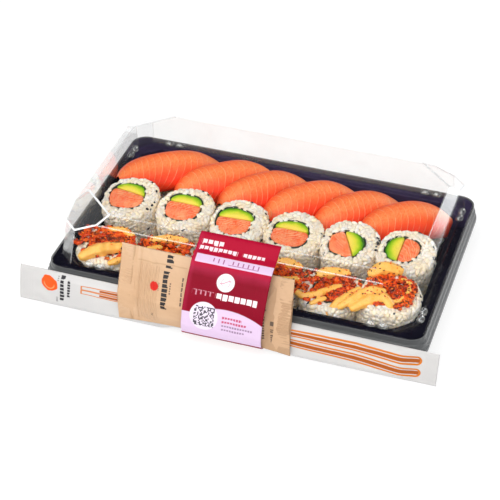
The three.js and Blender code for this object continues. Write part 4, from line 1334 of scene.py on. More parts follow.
# %% Routes of the sauce
# Each strip: x and y of its points from the roll's middle, height over the cut end, radius.
SAUCE = {
    1: (
        (((9.5, -5), (3, -8), (-4, -13), (-9.5, -17.5)), (2.2, 2.6, 2.4, 0.8), 3.5),
        (((14.5, -13), (8, -18)), (1.2, 0.0), 1.9),
        (((12, 9), (4, 12), (-4, 10)), (1.4, 1.6, 1.0), 2.2),
    ),
    2: (
        (((11, -3), (2, -9), (-8, -15)), (2.0, 2.2, 0.6), 2.8),
        (((13, -12), (6, -17)), (1.4, -0.4), 2.0),
        (((10, 12), (0, 11), (-9, 8)), (1.8, 2.2, 1.6), 2.6),
        (((-3, 2), (-12, -3)), (1.6, 1.0), 1.9),
    ),
    3: (
        (((12, 0), (3, -7), (-7, -12), (-12, -16)), (1.8, 2.4, 1.6, -0.4), 2.6),
        (((10, -13), (2, -18)), (1.4, -0.6), 2.2),
        (((7, 13), (-2, 12), (-10, 8)), (1.8, 1.8, 1.4), 2.4),
    ),
    4: (
        (((14, -1), (5, -6), (-6, -12), (-12, -15)), (1.6, 2.2, 1.6, 0.0), 2.5),
        (((11, -11), (3, -16)), (1.6, 0.0), 2.1),
        (((12, 11), (3, 12), (-6, 10)), (1.4, 1.8, 1.4), 2.7),
    ),
    5: (
        (((-19.5, -10.5), (-14, -13.6), (-6, -10.2), (0, -4.5), (5, 0.5)),
         (1.0, 0.8, 1.8, 2.0, 1.6), 2.0),
        (((-7.5, -17.2), (-1, -12.4)), (0.2, 1.4), 1.5),
        (((3.5, -18.3), (8.5, -12.5), (13, -6), (17, 0)), (-3.2, 0.8, 2.0, 2.4), 2.5),
        (((-9, 7.5), (-2, 11.5), (5.5, 13.2)), (1.6, 2.0, 1.6), 3.2),
        (((6, -19.2), (1.5, -19)), (-4.6, -5.2), 1.4),
    ),
    6: (
        (((-24.5, -19), (-17.5, -12.5), (-12, -6)), (-2.6, 0.2, 1.4), 2.3),
        (((-16.5, -18.5), (-8.5, -13), (-1, -9), (4, -13)), (-2.0, 1.0, 1.8, 0.8), 2.9),
        (((-15.5, -8.5), (-8.5, -5), (-3, -4)), (1.4, 2.2, 1.8), 2.2),
        (((-12.5, 11), (-7, 16.5), (1, 17)), (1.4, 2.2, 1.6), 3.6),
        (((5.5, 10.5), (10.5, 8.5), (12.5, 1.5), (9, -7), (2, -12.5)),
         (1.0, 1.2, 1.0, 0.8, 0.8), 1.5),
    ),
}


# %% Finish the sauce
mayo = Finish("spicy_mayonnaise", Subsurface_Weight=0.15, Subsurface_Scale=0.004,
              Subsurface_Radius=(1.0, 0.55, 0.2), Specular_IOR_Level=0.4)
swirl = mayo.grain(6, 3)
speck = mayo.grain(0.9, 1).past(0.70, 0.05)
cream_colour = mayo.blend(swirl, screen(255, 172, 62), screen(255, 208, 114))
mayo.put("Base Color", mayo.blend(0.55 * speck, cream_colour, screen(196, 74, 22)))
mayo.put("Roughness", 0.2 + 0.18 * swirl)
mayo.relief(swirl, 0.3)

heap = Finish("chopped_fish", Subsurface_Weight=0.08, Subsurface_Scale=0.002,
              Subsurface_Radius=(1.0, 0.3, 0.15), Specular_IOR_Level=0.35)
chop = heap.grain(2.8, 4, roughness=0.65)
char = heap.grain(4.5, 4, roughness=0.7)
red = heap.ramp(chop, (
    (0.28, screen(130, 18, 0)), (0.40, screen(220, 60, 0)), (0.54, screen(252, 106, 4)),
    (0.76, screen(255, 158, 36)),
))
scorch = heap.grain(13, 2).past(0.5, 0.12)
red = heap.blend(0.5 * scorch * (0.4 + chop), red, screen(184, 30, 0))
heap.put("Base Color", heap.blend(char.past(0.54, 0.1) * 0.85, red, screen(58, 14, 8)))
heap.put("Roughness", 0.3 + 0.3 * chop)
heap.relief(chop + 0.5 * heap.grain(0.8, 2), 0.5)


# %% A heap of chopped fish
HEAP_SPOTS = 150
HEAP_HALF_DEPTH = 15.4
# Shift and half width of each heap: the last one lies more to the left
HEAP_SPREADS = ((0, 18.8),) * 5 + ((-2.5, 15.5),)
END_SLOPE = math.sin(math.radians(FRONT_TILT))  # how fast a cut end rises to the back


def heap_balls(middle, reach, draws):
    """Lumps of chopped fish over a cut end, more of them towards the back."""
    balls = []
    while len(balls) < HEAP_SPOTS:
        x, y = draws.uniform(-1, 1), draws.uniform(-1, 1)
        if x ** 4 + abs(y) ** 2.5 > 1 or draws.random() > 0.8 + 0.6 * y:
            continue
        x, y = x * reach[0], y * reach[1]
        rise = 1.3 + y * END_SLOPE + draws.uniform(-0.7, 0.7)
        place = middle + [x, y, rise]
        balls.append((*place, draws.uniform(1.2, 2.3), 0.75))
    return balls


def add_heap(i, length, filling, seat, top, draws):
    """The heap on a front roll and the bar of filling under it, as one piece.

    Returns the heap's skin as it was before it is roughened, for the flakes to lie on."""
    shift, half_width = HEAP_SPREADS[i]
    balls = heap_balls(top + [shift, 0, 0], (half_width, HEAP_HALF_DEPTH), draws)
    points, faces = melt(f"heap_{i + 1}", balls, 0.75, 1)
    rough = np.array([[0, 0, 0.5 * lump(p, 1.6, i) + 0.3 * lump(p, 0.8, i)] for p in points])
    outline = even_outline(filling_ring(0.75, filling[2], FRONT_SEED + i), 40)
    bar_points, bar_faces = capped_loft(soft_bar(outline, length, 0.2, 90 + i))
    everything = np.concatenate([points + rough, seated(bar_points + [filling[0], 0, 0], seat)])
    everything_faces = faces + [tuple(k + len(points) for k in f) for f in bar_faces]
    name = f"chopped_filling_{i + 1}"
    mesh = turn_outward(build_mesh(name, everything, everything_faces))
    add_piece(name, mesh, heap, [f"dressed_roll_{i + 1}_topping"])
    return points, faces


# %% Strips of mayonnaise
SAUCE_SWELL = 1.5


def add_sauce(i, x, y, top):
    """The strips on a front roll, melted together. Returns their skin."""
    balls = []
    for k, (route, heights, radius) in enumerate(SAUCE[i + 1]):
        spine = [
            (x + dx, y + dy, top[2] + rise + 0.4 + dy * END_SLOPE)
            for (dx, dy), rise in zip(route, heights)
        ]
        balls += strip_balls(spine, radius * SAUCE_SWELL, 3 * (i + 1) + k)
    points, faces = melt(f"sauce_{i + 1}", balls, 0.5, 5)
    name = f"spicy_sauce_{i + 1}"
    mesh = build_mesh(name, points, faces)
    add_piece(name, mesh, mayo, [f"dressed_roll_{i + 1}_topping"])
    print(f"dressing {i + 1}: {len(points)} points of sauce")
    return points, faces


# %% Dress each front roll, and throw flakes on it
flake_places, flake_outward = [], []
for i, (x, y, lean, filling, extra) in enumerate(FRONT_ROLLS):
    draws = np.random.default_rng(200 + i)
    seat = roll_seat(x, y, lean, FRONT_TILT)
    length = FRONT_LENGTH + extra
    top = seated(np.array([[filling[0], 0, length]]), seat)[0]
    points, faces = add_heap(i, length, filling, seat, top, draws)
    places, outward = scatter(points, faces, 1.0, draws, 1800, lambda m: m[:, 2] > top[2] - 1)
    kept = np.array([lump(p, 7, 250) for p in places]) > draws.uniform(-0.5, 0.15, len(places))
    flake_places.append(places[kept])
    flake_outward.append(outward[kept])
    points, faces = add_sauce(i, x, y, top)
    places, outward = scatter(
        points, faces, 1.6, draws, 400,
        lambda m: (m[:, 2] > top[2] + 0.5) & (m[:, 1] > top[1] - 9),
    )
    kept = draws.random(len(places)) < 0.45
    flake_places.append(places[kept])
    flake_outward.append(outward[kept])


# %% Chilli flakes
def flake_form():
    """A flat chip with five uneven corners."""
    turns = np.radians([0, 70, 150, 215, 290])
    reach = np.array([1.0, 0.7, 0.95, 0.6, 0.85])
    corners = np.column_stack([np.cos(turns) * reach, np.sin(turns) * reach])
    return capped_loft([
        np.column_stack([corners * share, np.full(len(corners), z)])
        for share, z in ((1, -1.0), (0.8, 1.0))
    ])


chilli = Finish("chilli_flakes", Specular_IOR_Level=0.45)
flake_tone = chilli.stored("tone")
chilli.put("Base Color", chilli.ramp(flake_tone, (
    (0.0, screen(36, 8, 4)), (0.3, screen(122, 14, 0)), (0.56, screen(210, 36, 0)),
    (0.82, screen(248, 88, 0)), (1.0, screen(255, 150, 30)),
)))
chilli.put("Roughness", 0.4 + 0.3 * chilli.grain(0.7, 2))
chilli.relief(chilli.grain(0.5, 2), 0.1)
FLAKE_HALF_SIZES = (0.85, 0.6, 0.18)
places, outward = np.concatenate(flake_places), np.concatenate(flake_outward)
draws = np.random.default_rng(260)
points, faces, tones = lay_grains(
    flake_form(), places, outward, FLAKE_HALF_SIZES, draws, tilt=0.5, sink=-0.6
)
stored = {"tone": tones}
mesh = turn_outward(build_mesh("chilli_flakes", points, faces, smooth=False, stored=stored))
add_piece("chilli_flakes", mesh, chilli)
print(f"{len(places)} chilli flakes, {triangle_count(mesh)} triangles")

# %% [markdown]
# ### Sesame
# Black and toasted pale seeds are pressed into the outside of the rolls. A seed is a flat
# drop, so it is a spindle with one end drawn out, laid on the rice like a grain.

# %% Press in the sesame
SEED_HALF_SIZES = (1.35, 0.8, 0.5)
MIDDLE_SEEDS, FRONT_SEEDS = 34, 16  # on each roll, before a kind's share is taken


def seed_form():
    """A spindle that gets thinner towards one end."""
    points, faces = grain_form(around=8, bend=0.0)
    blunt = 1 - 0.45 * smoothstep(points[:, 0], -0.6, 1.0)
    points[:, 1:] *= blunt[:, None]
    return points, faces


def seed_places(draws, black_share):
    """Seats of the seeds of one kind over all the rolls, mostly near the cut ends."""
    all_places, all_outward = [], []
    rolls = [(r, MIDDLE_TILT, MIDDLE_LENGTH, MIDDLE_SEEDS) for r in MIDDLE_ROLLS]
    rolls += [(r, FRONT_TILT, FRONT_LENGTH + r[4], FRONT_SEEDS) for r in FRONT_ROLLS]
    for roll, tilt, length, count in rolls:
        turn, place = roll_seat(roll[0], roll[1], roll[2], tilt)
        for _ in range(max(int(count * black_share), 1)):
            angle = draws.uniform(0, 2 * math.pi)
            if draws.random() < 0.45:
                angle = draws.normal(0.5, 0.5)
            z = length * (1 - 0.75 * draws.random() ** 1.6)
            at_rim = smoothstep(z, length - 2.5, length)
            wide, deep = ROLL_HALF_WIDTH - 1.5 * at_rim, ROLL_HALF_DEPTH - 1.5 * at_rim
            flat = oval(np.array([angle]), wide, deep)[0]
            out = np.array([math.cos(angle), math.sin(angle), 0.8 * at_rim])
            all_places.append(turn @ np.array([*flat, z]) + place)
            all_outward.append(turn @ (out / np.linalg.norm(out)))
    return np.array(all_places), np.array(all_outward)


SEED_KINDS = (
    ("sesame_black", 0.75, screen(22, 22, 26), screen(58, 56, 60)),
    ("sesame_pale", 0.35, screen(206, 176, 128), screen(232, 208, 166)),
)
for k, (name, share, dark, light) in enumerate(SEED_KINDS):
    draws = np.random.default_rng(300 + k)
    places, outward = seed_places(draws, share)
    points, faces, tones = lay_grains(
        seed_form(), places, outward, SEED_HALF_SIZES, draws, tilt=0.2, sink=-1.0
    )
    seed_coat = Finish(name, Specular_IOR_Level=0.5)
    seed_coat.put("Base Color", seed_coat.blend(seed_coat.stored("tone"), dark, light))
    seed_coat.put("Roughness", 0.4 + 0.3 * seed_coat.grain(0.6, 2))
    seed_coat.relief(seed_coat.grain(0.4, 2), 0.06)
    mesh = turn_outward(build_mesh(name, points, faces, stored={"tone": tones}))
    add_piece(name, mesh, seed_coat)
    print(f"{name}: {len(places)} seeds, {triangle_count(mesh)} triangles")

# %% [markdown]
# ## Sachet, band and chopsticks packet
# Three thin printed things lie against each other in front of the lid. Each is a sheet
# or pillow whose section is a route of (y, z) stations, swept from left to right. The
# mesh carries the place of each point on the flat sheet, in millimetres, so that
# print and creases can be laid out as on a flat sheet and still follow the bends.

# %% Sweep a section from left to right
def resample(route, steps, rounds):
    """A route with evenly spaced stations, its corners worn round a little."""
    route = np.array(route, float)
    lengths = distances(route)
    wanted = np.linspace(0, lengths[-1], steps)
    even = np.column_stack([np.interp(wanted, lengths, route[:, k]) for k in (0, 1)])
    for _ in range(rounds):
        even[1:-1] = 0.5 * even[1:-1] + 0.25 * (even[:-2] + even[2:])
    return even, wanted


def pillow_mesh(name, columns, stored):
    """A closed film from columns, each of which is a front and a back going up."""
    points, faces = capped_loft([np.concatenate([front, back[::-1]]) for front, back in columns])
    mesh = turn_outward(build_mesh(name, points, faces, stored=stored))
    print(f"{name}: {triangle_count(mesh)} triangles")
    return mesh


def crease(place, start, end, width, height):
    """Height of a straight fold at a place on the flat sheet, from one point to another."""
    start, end = np.array(start, float), np.array(end, float)
    reach = np.linalg.norm(end - start)
    ahead = (end - start) / reach
    offset = np.asarray(place, float) - start
    along = np.dot(offset, ahead)
    aside = offset[0] * ahead[1] - offset[1] * ahead[0]
    beyond = max(-along, along - reach, 0)
    return height * math.exp(-((aside / width) ** 2) - (beyond / (2 * width)) ** 2)


# %% Shape the sauce sachet
SACHET_ROUTE = (
    (-92.6, 5.2), (-92.6, 13), (-91.3, 22), (-85.4, 30.2), (-79.8, 38.6), (-74.6, 46.8),
)
SACHET_LENGTH = 107
SACHET_HEIGHT = 46.8
SACHET_SEAL = 9
SACHET_BULGE = 3.4
SACHET_CENTRE_X = -13.6
SACHET_SHEAR = 4.4
SACHET_TUCK = 2.8
# Folds on the flat sachet: from, to, width, and height, where a groove is negative
SACHET_FOLDS = (
    ((8.6, 0), (9.6, 47), 0.6, -1.0), ((12.5, 47), (14.0, 30), 0.9, -0.5),
    ((17, 46), (22, 38), 1.2, 0.7), ((22, 38), (28, 33), 0.9, 0.45),
    ((30, 46), (36, 36), 1.2, -0.5), ((84, 46), (92, 34), 1.2, 0.8),
    ((92, 46), (99, 38), 1.0, -0.8), ((97, 40), (88, 26), 1.0, 0.7),
    ((98, 30), (92, 10), 1.2, -0.6), ((98.5, 0), (97.5, 47), 0.7, -0.9),
    ((96, 24), (84, 16), 1.0, 0.6), ((12, 2.6), (90, 1.6), 0.6, -0.5),
    ((80, 44), (86, 30), 1.0, -0.6), ((93, 12), (84, 5), 1.1, 0.5),
    ((44, 12), (62, 4), 1.4, 0.4), ((12, 12), (18, 3), 1.3, -0.45),
)
# A second layer of film ends along a slanting line: its span, its height, its slant
LAYER_SPAN, LAYER_EDGE, LAYER_SLANT = (11, 42), 39.2, 0.03
# Ribs pressed across the film: their span along it and the space between two
RIB_SPAN, RIB_PITCH = (12, 26), 1.75
OFF_SHEET = -20  # stored for the points of a hidden back, where nothing is printed


def sachet_point(share, rise, depth):
    """A point of the sachet: how far along, how far up, and 1 in front or 0 at the back."""
    last = len(SACHET_ROUTE) - 1
    below = min(int(rise * last), last - 1)
    near_end = min(share, 1 - share) * SACHET_LENGTH
    fullness = smoothstep(near_end, SACHET_SEAL * 0.8, SACHET_SEAL + 14)
    corners = []
    for i in (below, below + 1):
        y, z = SACHET_ROUTE[i]
        thickness = 0.6 + SACHET_BULGE * fullness * math.sin(math.pi * i / last)
        tuck = SACHET_TUCK * (1 - (2 * share - 1) ** 2) * (i == 0)
        corners.append(np.array([
            SACHET_CENTRE_X + (share - 0.5) * SACHET_LENGTH + SACHET_SHEAR * (0.5 - i / last),
            y - depth * thickness * 0.9,
            z + depth * thickness * 0.35 * i / last + (0.5 - share) * 1.8 + tuck,
        ]))
    part = rise * last - below
    return corners[0] * (1 - part) + corners[1] * part


def sachet_relief(u, v):
    """How far the film stands out at a place on the flat sachet."""
    folds = sum(crease((u, v), *fold) for fold in SACHET_FOLDS)
    in_ribs = RIB_SPAN[0] < u < RIB_SPAN[1] and 4 < v < 39
    ribs = 0.3 * math.sin(2 * math.pi * u / RIB_PITCH) * in_ribs
    seal = 0.07 * math.sin(2 * math.pi * v / 1.3) * (u < 8.4 or u > 99)
    below_layer = LAYER_EDGE + LAYER_SLANT * (u - 20) - v
    layer = 0.25 * smoothstep(below_layer, 0, 0.6) * (LAYER_SPAN[0] < u < LAYER_SPAN[1])
    wave = 0.35 * lump((u, v, 0), 14, 400) + 0.2 * lump((u, v, 0), 6, 401)
    return folds + ribs + seal + layer + wave


# %% Build the sauce sachet
columns = []
stored = {"across": [], "upward": []}
for share in np.linspace(0, 1, 161):
    front, back, u = [], [], share * SACHET_LENGTH
    for rise in np.linspace(0, 1, 61):
        v = rise * SACHET_HEIGHT
        point = sachet_point(share, rise, 1)
        point[1] -= 0.9 * (sachet_relief(u, v) - 0.75) * min(4 * rise + 0.2, 1)
        front.append(point)
        stored["across"].append(u)
        stored["upward"].append(v)
    for rise in np.linspace(0, 1, 13):
        back.append(sachet_point(share, rise, 0))
        stored["across"].append(OFF_SHEET)
        stored["upward"].append(0)
    columns.append((np.array(front), np.array(back)))
sachet_mesh = pillow_mesh("sauce_sachet", columns, stored)

# %% [markdown]
# ### Kraft paper film
# Kraft film is tan with a fine fibre, and prints on it are dull. It is painted paler towards
# its top, which leans back into the light, and a little paler in a low band; its right end
# and the strips beside its folds are painted darker, as painted shade. Words become rows of
# small bars of about the same weight, since that is how small print looks from this far.
# Each row is a box cut up by a modulo.

# %% Print small bars
def box(across, upward, low, high, blur=0.25):
    """1 within a box on the flat sheet, between two opposite corners in mm."""
    return across.within(low[0], high[0], blur) * upward.within(low[1], high[1], blur)


def bars(across, upward, standing, low, high, pitch, gap):
    """A row of bars in a box, cut up along the sheet, or up it when standing."""
    line, crossline = (upward, across) if standing else (across, upward)
    start, side = (low[1], 0) if standing else (low[0], 1)
    cut = ((line - start) % pitch).within(gap, pitch + 1, 0.25)
    number = (line / pitch).floor() + 7 * low[0]
    wobble = line.finish.node("TexWhiteNoise", {"noise_dimensions": "1D"}, {"W": number}, "Value")
    shorten = 0.3 * wobble * (high[side] - low[side])
    tall = 1 - (crossline + shorten).past(high[side], 0.25)
    return box(across, upward, low, high) * cut * tall


def printed_rows(across, upward, rows, standing=False):
    """Rows of bars as one mask. Each row: two corners, pitch, gap and strength."""
    mask = None
    for *row, strength in rows:
        row_mask = bars(across, upward, standing, *row)
        if strength < 1:
            row_mask = strength * row_mask
        mask = mask.higher(row_mask) if mask else row_mask
    return mask


# %% Finish the sachet
KRAFT_ROWS = (
    ((28.1, 15.5), (32, 36.5), 2.4, 0.4, 1), ((28.8, 38.2), (33, 39.6), 1.5, 0.1, 1),
    ((29, 40.6), (33.4, 45.2), 2.5, 0.5, 1), ((32.6, 24.5), (33.6, 31.0), 1.3, 0.5, 0.8),
    ((39.9, 19.5), (41.0, 35), 2.6, 0.5, 0.8), ((90.3, 9.5), (92.2, 24), 1.7, 0.5, 0.8),
    ((90.3, 26.5), (92.2, 41), 1.5, 0.5, 0.8), ((95.4, 7.5), (97.6, 13.5), 1.5, 0.5, 0.8),
    ((95.4, 14.6), (97.6, 17.2), 1.4, 0.5, 0.8), ((95.0, 18.8), (97.8, 21.6), 3.0, 0.5, 0.8),
    ((21.9, 9.3), (23.4, 11.2), 1.0, 0.5, 0.8), ((25.6, 25.5), (26.4, 30), 0.9, 0.5, 0.8),
)
kraft = Finish("kraft_film", Specular_IOR_Level=0.35)
across, upward = kraft.stored("across"), kraft.stored("upward")
fibre = kraft.grain(1.4, 4, kraft.place((0.3, 1, 1)), roughness=0.65)
cloud = kraft.grain(18, 2)
tan = kraft.blend(0.5 * fibre + 0.5 * cloud, screen(190, 150, 114), screen(215, 179, 144))
# Painted light: paler towards the top, which leans back into the light, and a little paler in a
# low band.
pale = upward.past(40, 16) * 0.5 + 0.25 * upward.within(5, 14, 8)
tan = kraft.blend(pale, tan, screen(220, 188, 156))
# Painted shade: the right end is darkened, and painted shadows lie beside the seal's folds and
# under the second layer's edge.
tan = kraft.blend(0.4 * across.past(84, 5), tan, screen(158, 120, 84))
fold_shade = across.within(7.6, 9.4, 1.2) * 0.45 + across.within(12.2, 13.4, 1.2) * 0.16
layer_low, layer_high = (LAYER_SPAN[0], LAYER_EDGE), (LAYER_SPAN[1], LAYER_EDGE + 0.7)
layer_shade = box(across, upward - LAYER_SLANT * (across - 20), layer_low, layer_high, 0.5)
tan = kraft.blend(fold_shade + 0.3 * layer_shade, tan, screen(150, 108, 64))
tan = kraft.blend(printed_rows(across, upward, KRAFT_ROWS, standing=True), tan, screen(34, 28, 30))
disc = ((across - 23.2) ** 2 + ((upward - 27.8) * 1.1) ** 2) ** 0.5
ripple = 0.7 * kraft.grain(2.2, 2)
disc_mask = 1 - (disc + ripple).past(3.0, 0.4)
kraft.put("Base Color", kraft.blend(disc_mask, tan, screen(214, 30, 14)))
kraft.put("Roughness", 0.38 + 0.2 * fibre)
ribs = (across * 3.6).sine() * across.within(*RIB_SPAN, 2) * upward.within(4, 38.5, 1)
pressed = (upward * 5).sine() * (across.past(99, 1) + 1 - across.past(8, 1))
wrinkles = abs(kraft.grain(13, 3, kraft.place((1, 1, 0.6))) - 0.5)
kraft.relief(0.25 * fibre + 0.35 * ribs + 0.2 * pressed - 3.5 * wrinkles.lower(0.12), 0.45)
add_piece("kraft_sauce_sachet", sachet_mesh, kraft, ["sauce_sachet"])

# %% [markdown]
# ### Paper band
# The band is one strip of paper from the lid's top, over the sachet and on under the
# tray. Its route is a short list of corners, worn round and then walked along in even
# steps, so that the distance walked is also the place on the flat strip.

# %% Build the band
LABEL_ROUTE = (
    (-59.1, 56.3), (-61.1, 56.3), (-68.1, 51.6), (-73.8, 50.3), (-77.6, 48.6), (-84.6, 40.6),
    (-90.4, 31.8), (-95, 23), (-96.6, 14), (-95.8, 9), (-95, 7.2), (-93.4, 5.6), (-90.6, 4.1),
    (-84, 0.3), (-63.8, 0.3), (-49.8, 0.3),
)
LABEL_LEFT, LABEL_WIDTH, LABEL_THICKNESS = -24.65, 49.5, 0.3
inner, label_along = resample(LABEL_ROUTE, 235, rounds=6)
ahead = np.gradient(inner, axis=0)
ahead /= np.linalg.norm(ahead, axis=1)[:, None]
outer = inner + np.column_stack([ahead[:, 1], -ahead[:, 0]]) * LABEL_THICKNESS
columns = []
stored = {"across": [], "down": []}
for u in np.linspace(0, LABEL_WIDTH, 67):
    front, back = [], []
    for i, s in enumerate(label_along):
        wave = 0.10 * lump((u, s, 0), 9, 410) + 0.06 * lump((u, s, 0), 4, 411)
        dent = wave * smoothstep(s, 14, 22) * (1 - smoothstep(s, 66, 74))
        push = (outer[i] - inner[i]) / LABEL_THICKNESS * (dent - 0.02)
        front.append((LABEL_LEFT + u, *(outer[i] + push)))
        stored["across"].append(u)
        stored["down"].append(s)
    for place in inner[::6]:
        back.append((LABEL_LEFT + u, *place))
        stored["across"].append(OFF_SHEET)
        stored["down"].append(OFF_SHEET)
    columns.append((np.array(front), np.array(back)))
label_mesh = pillow_mesh("band", columns, stored)

# %% [markdown]
# ### Crimson print
# The band is coated paper: a field of crimson, lilac fields with soft or curved borders,
# discs, and rows of bars for the words. Every shape is a mask from the place on the flat
# band, and one blend per ink lays it over what is under it, as a press would.

# %% Rows of bars on the band
UPPER_ROWS = (
    ((2.2, 5.3), (16.2, 8.6), 3.4, 0.75, 1), ((1.6, 9.6), (25.6, 12.9), 2.9, 0.6, 1),
    ((28.6, 9.8), (42.2, 12.7), 2.8, 0.6, 1),
)
THIN_ROWS = (((10.5, 17.2), (20, 20.3), 3.1, 2.4, 1), ((22.4, 17.2), (41, 20.3), 3.1, 2.4, 1))
LIGHT_ROWS = (((4.4, 37.4), (17.6, 41), 2.9, 2.1, 1), ((4.4, 37.4), (17.6, 37.9), 2.9, 0.6, 0.8))
BOLD_ROWS = (((18.8, 37.4), (44.2, 41.3), 3.7, 0.7, 1),)
SMALL_ROWS = (((24.5, 50.4), (37, 52), 1.7, 0.4, 1), ((24.5, 53), (40, 54.6), 1.7, 0.4, 1))
GREY_ROWS = (((24.5, 55.7), (44, 57.1), 1.6, 0.45, 1), ((24.5, 58.2), (39, 59.6), 1.6, 0.45, 1))


def distance_from(middle, across, down):
    """How far a place on the flat band is from a point of it, in mm."""
    return ((across - middle[0]) ** 2 + (down - middle[1]) ** 2) ** 0.5


# %% Crimson and the upper words
ink = Finish("crimson_label", Specular_IOR_Level=0.1)
across, down = ink.stored("across"), ink.stored("down")
paper_grain = ink.grain(0.9, 3)
crimson = ink.blend(ink.grain(20, 2), screen(126, 0, 28), screen(142, 2, 38))
# Painted light: the upper panel, which lies on the lid's sloping top, is painted a lighter
# crimson, and below it a painted sheen lies along the crease and a painted gleam along the left
# edge.
crimson = ink.blend((1 - down.past(24, 3)) * 0.85, crimson, screen(182, 12, 52))
left_gleam = 0.5 * (1 - across.past(2.2, 2))
sheen = down.within(22.5, 27.5, 4) * (0.35 + 0.6 * ink.grain(9, 2)) + left_gleam
crimson = ink.blend(0.45 * sheen.clamp(), crimson, screen(196, 50, 90))
ground = ink.blend(printed_rows(across, down, UPPER_ROWS), crimson, screen(252, 226, 236))
stripe = across.past(2.2, 0.2) * down.within(15.9, 21.4, 0.25)
ground = ink.blend(stripe, ground, screen(222, 196, 226))
thin_words = printed_rows(across, down, THIN_ROWS)
thin_words = thin_words.higher(0.7 * box(across, down, (22.4, 19.8), (41, 20.3)))
ground = ink.blend(0.85 * thin_words, ground, screen(150, 60, 120))

# %% The badge and the name
BADGE = (23.4, 30.6)
from_badge = distance_from(BADGE, across, down)
ground = ink.blend(1 - from_badge.past(5.4, 0.25), ground, screen(244, 238, 244))
aside = across - BADGE[0]
slope = abs((down - 30.4) + 1.1 * (aside / 1.7).sine())
leaf = (1 - slope.past(0.3, 0.3)) * (1 - abs(aside).past(3.4, 0.4))
ring_line = from_badge.within(2.4, 2.75, 0.2) * abs(aside).past(1.2, 0.6)
ground = ink.blend(0.7 * leaf.higher(0.8 * ring_line), ground, screen(190, 70, 112))
light_word = 0.6 * printed_rows(across, down, LIGHT_ROWS)
ground = ink.blend(light_word, ground, screen(236, 170, 192))
ground = ink.blend(printed_rows(across, down, BOLD_ROWS), ground, screen(250, 236, 242))

# %% The hill, its code and the small print
from_crest = (across - 27) / 22
hill = 51.4 - 5.2 * (1 - from_crest * from_crest).clamp()
wave_field = (down - hill).past(0, 0.4) * (1 - down.past(66.6, 0.3))
ground = ink.blend(wave_field, ground, screen(220, 196, 226))
halo = 1 - distance_from((13.6, 52.6), across, down).past(8.7, 0.25)
ground = ink.blend(halo, ground, screen(232, 220, 238))
CELL = 0.74
cell_place = ink.node("CombineXYZ", {}, {
    "X": (across / CELL).floor(), "Y": (down / CELL).floor(), "Z": 3.0,
})
cells = ink.node("TexWhiteNoise", {"noise_dimensions": "3D"}, {"Vector": cell_place}, "Value")
block = box(across, down, (7.4, 46.6), (20.0, 58.9), 0.15)
ground = ink.blend(0.9 * (block * (cells > 0.5)), ground, screen(26, 26, 36))
small_lines = 0.85 * printed_rows(across, down, SMALL_ROWS)
ground = ink.blend(small_lines, ground, screen(190, 30, 84))
grey_lines = 0.7 * printed_rows(across, down, GREY_ROWS)
ground = ink.blend(grey_lines, ground, screen(110, 70, 110))
ink.put("Base Color", ground)
ink.put("Roughness", 0.34 + 0.14 * paper_grain + 0.1 * ink.grain(12, 2))
ink.relief(0.3 * paper_grain + ink.grain(11, 2), 0.3)
add_piece("crimson_band", label_mesh, ink, ["label"])

# %% [markdown]
# ### Chopsticks packet
# The packet is a long pillow of white film with a crimped seal at both ends. It leans on
# the band, and its lower edge rises where the band turns under the tray. Each point
# carries how far it is from the middle of each printed chopstick, as a share of the
# stick's half height there, so a tapering stick is printed by one plain mask.

# %% Shape the chopsticks packet
PACKET_LENGTH = 260
PACKET_MIDDLE_X = -1.5
PACKET_BACK_Y = -84.4
PACKET_LEAN = 3.2
PACKET_FOOT = 0.9
PACKET_HEIGHT = 21
PACKET_LIFT = 2.5
PACKET_RISES = np.linspace(0, 1, 31)
HIDDEN_RISE = -9  # stored for the points of the back, below everything that is printed
# Middle and half height of each printed chopstick along the packet, as shares of its height
STICK_X = (-91, -67, 42, 80, 116)
STICKS = (
    ((0.775, 0.79, 0.79, 0.79, 0.68), (0.055, 0.065, 0.09, 0.11, 0.135)),
    ((0.66, 0.655, 0.51, 0.47, 0.31), (0.055, 0.06, 0.105, 0.13, 0.13)),
)
STICK_END = 118.4


def packet_ring(share):
    """Front and back points of the packet at a share of its length."""
    near_end = min(share, 1 - share) * PACKET_LENGTH
    x = (share - 0.5) * PACKET_LENGTH + PACKET_MIDDLE_X
    thickness = 0.9 + 3.7 * smoothstep(near_end, 9.9, 23)
    height = PACKET_HEIGHT + (1 - share) * 2
    lift = PACKET_LIFT * (1 - smoothstep(abs(share - 0.5), 0.11, 0.155))
    front, back = [], []
    for rise in PACKET_RISES:
        swell = np.interp(rise, (0, 0.15, 0.5, 0.85, 1), (0.1, 0.9, 1, 0.9, 0.1))
        pinch = 0.25 * math.sin(2 * math.pi * x / 1.55) * (near_end < 8.5)
        pucker = 0.22 * math.sin(17 * rise + 3 * (x < 0)) * math.exp(-((near_end - 14) / 6) ** 2)
        wave = 0.3 * lump((x, 30 * rise, 0), 16, 420) + 0.14 * lump((x, 30 * rise, 0), 5, 421)
        fall = 0.3 * smoothstep(near_end, 0, 8) + 0.2
        dip = pinch + pucker - fall + wave * smoothstep(near_end, 6, 20)
        dip *= min(1, 8 * rise, 8 * (1 - rise))
        y = PACKET_BACK_Y - PACKET_LEAN * (1 - rise) - thickness * swell * 0.98 - min(dip, 0.0)
        front.append((x, y - 0.02, PACKET_FOOT + lift * (1 - rise) + rise * height))
    for rise in (0, 0.35, 0.7, 1):
        z = PACKET_FOOT + lift * (1 - rise) + rise * height
        back.append((x, PACKET_BACK_Y - PACKET_LEAN * (1 - rise) * 0.98, z))
    return np.array(front), np.array(back)


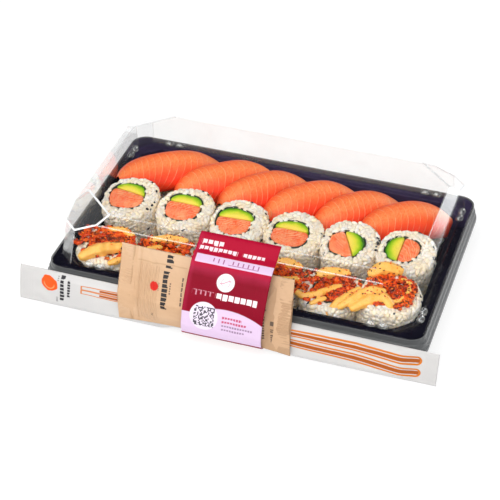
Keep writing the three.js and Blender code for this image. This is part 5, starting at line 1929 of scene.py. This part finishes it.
# %% Build the packet
columns = []
stored = {"across": [], "upward": [], "lane_1": [], "lane_2": []}
for share in np.linspace(0, 1, 321):
    front, back = packet_ring(share)
    columns.append((front, back))
    x = front[0][0]
    for rise in [*PACKET_RISES, *[HIDDEN_RISE] * len(back)]:
        stored["across"].append(x)
        stored["upward"].append(rise)
        for lane, (middle, half) in enumerate(STICKS):
            centre, reach = np.interp(x, STICK_X, middle), np.interp(x, STICK_X, half)
            stored[f"lane_{lane + 1}"].append((rise - centre) / reach)
packet_mesh = pillow_mesh("packet", columns, stored)

# %% Finish the packet
WORD_ROWS = (
    ((-104.2, 5.8), (-101.2, 21.2), 2.2, 0.5, 1), ((-99.6, 9), (-97.6, 19.6), 1.7, 0.4, 1),
    ((-106.6, 4.6), (-105.2, 8), 0.9, 0.4, 0.8), ((-106.2, 18), (-105, 20.6), 0.9, 0.4, 0.6),
)
WORD_HEIGHT = 22  # the packet's height in the rows above
film = Finish("white_film", Specular_IOR_Level=0.3)
across, upward = film.stored("across"), film.stored("upward")
veil = film.grain(26, 2)
white = film.blend(veil, screen(194, 193, 194), screen(212, 211, 210))
for lane in ("lane_1", "lane_2"):
    place = film.stored(lane)
    beyond = (across - (STICK_END - 2.6)).higher(0) / 2.9
    reach = (place * place + beyond * beyond) ** 0.5
    outline = reach.within(0.66, 1.05, 0.12) * across.past(-91, 0.5)
    left_end = across.within(-91.2, -90.2, 0.3) * (1 - abs(place).past(1.0, 0.1))
    core = (1 - abs(place).past(0.46, 0.14)) * across.within(-79, STICK_END - 0.6, 0.6)
    fade = across.past(-60, 30)
    white = film.blend(core, white, screen(170, 82, 0))
    edge_line = outline.higher(left_end).clamp()
    white = film.blend(edge_line * (0.9 + 0.1 * fade), white, screen(206, 112, 0))
drop = (((across + 111.6) / 6.0) ** 2 + ((upward - 0.69) / 0.21) ** 2) ** 0.5
blob = 1 - (drop + 0.35 * (film.grain(4.5, 1) - 0.5)).past(0.98, 0.06)
smile = drop.within(0.52, 0.66, 0.06) * (1 - upward.past(0.68, 0.08))
white = film.blend(blob, white, screen(228, 84, 4))
white = film.blend(blob * smile * 0.5, white, screen(252, 190, 130))
words = printed_rows(across, upward * WORD_HEIGHT, WORD_ROWS, standing=True)
film.put("Base Color", film.blend(words, white, screen(36, 34, 40)))
film.put("Roughness", 0.3 + 0.2 * veil)
film.relief(film.grain(9, 3) + 0.1 * film.grain(0.8, 2), 0.35)
add_piece("chopsticks_in_film", packet_mesh, film, ["chopsticks_packet"])
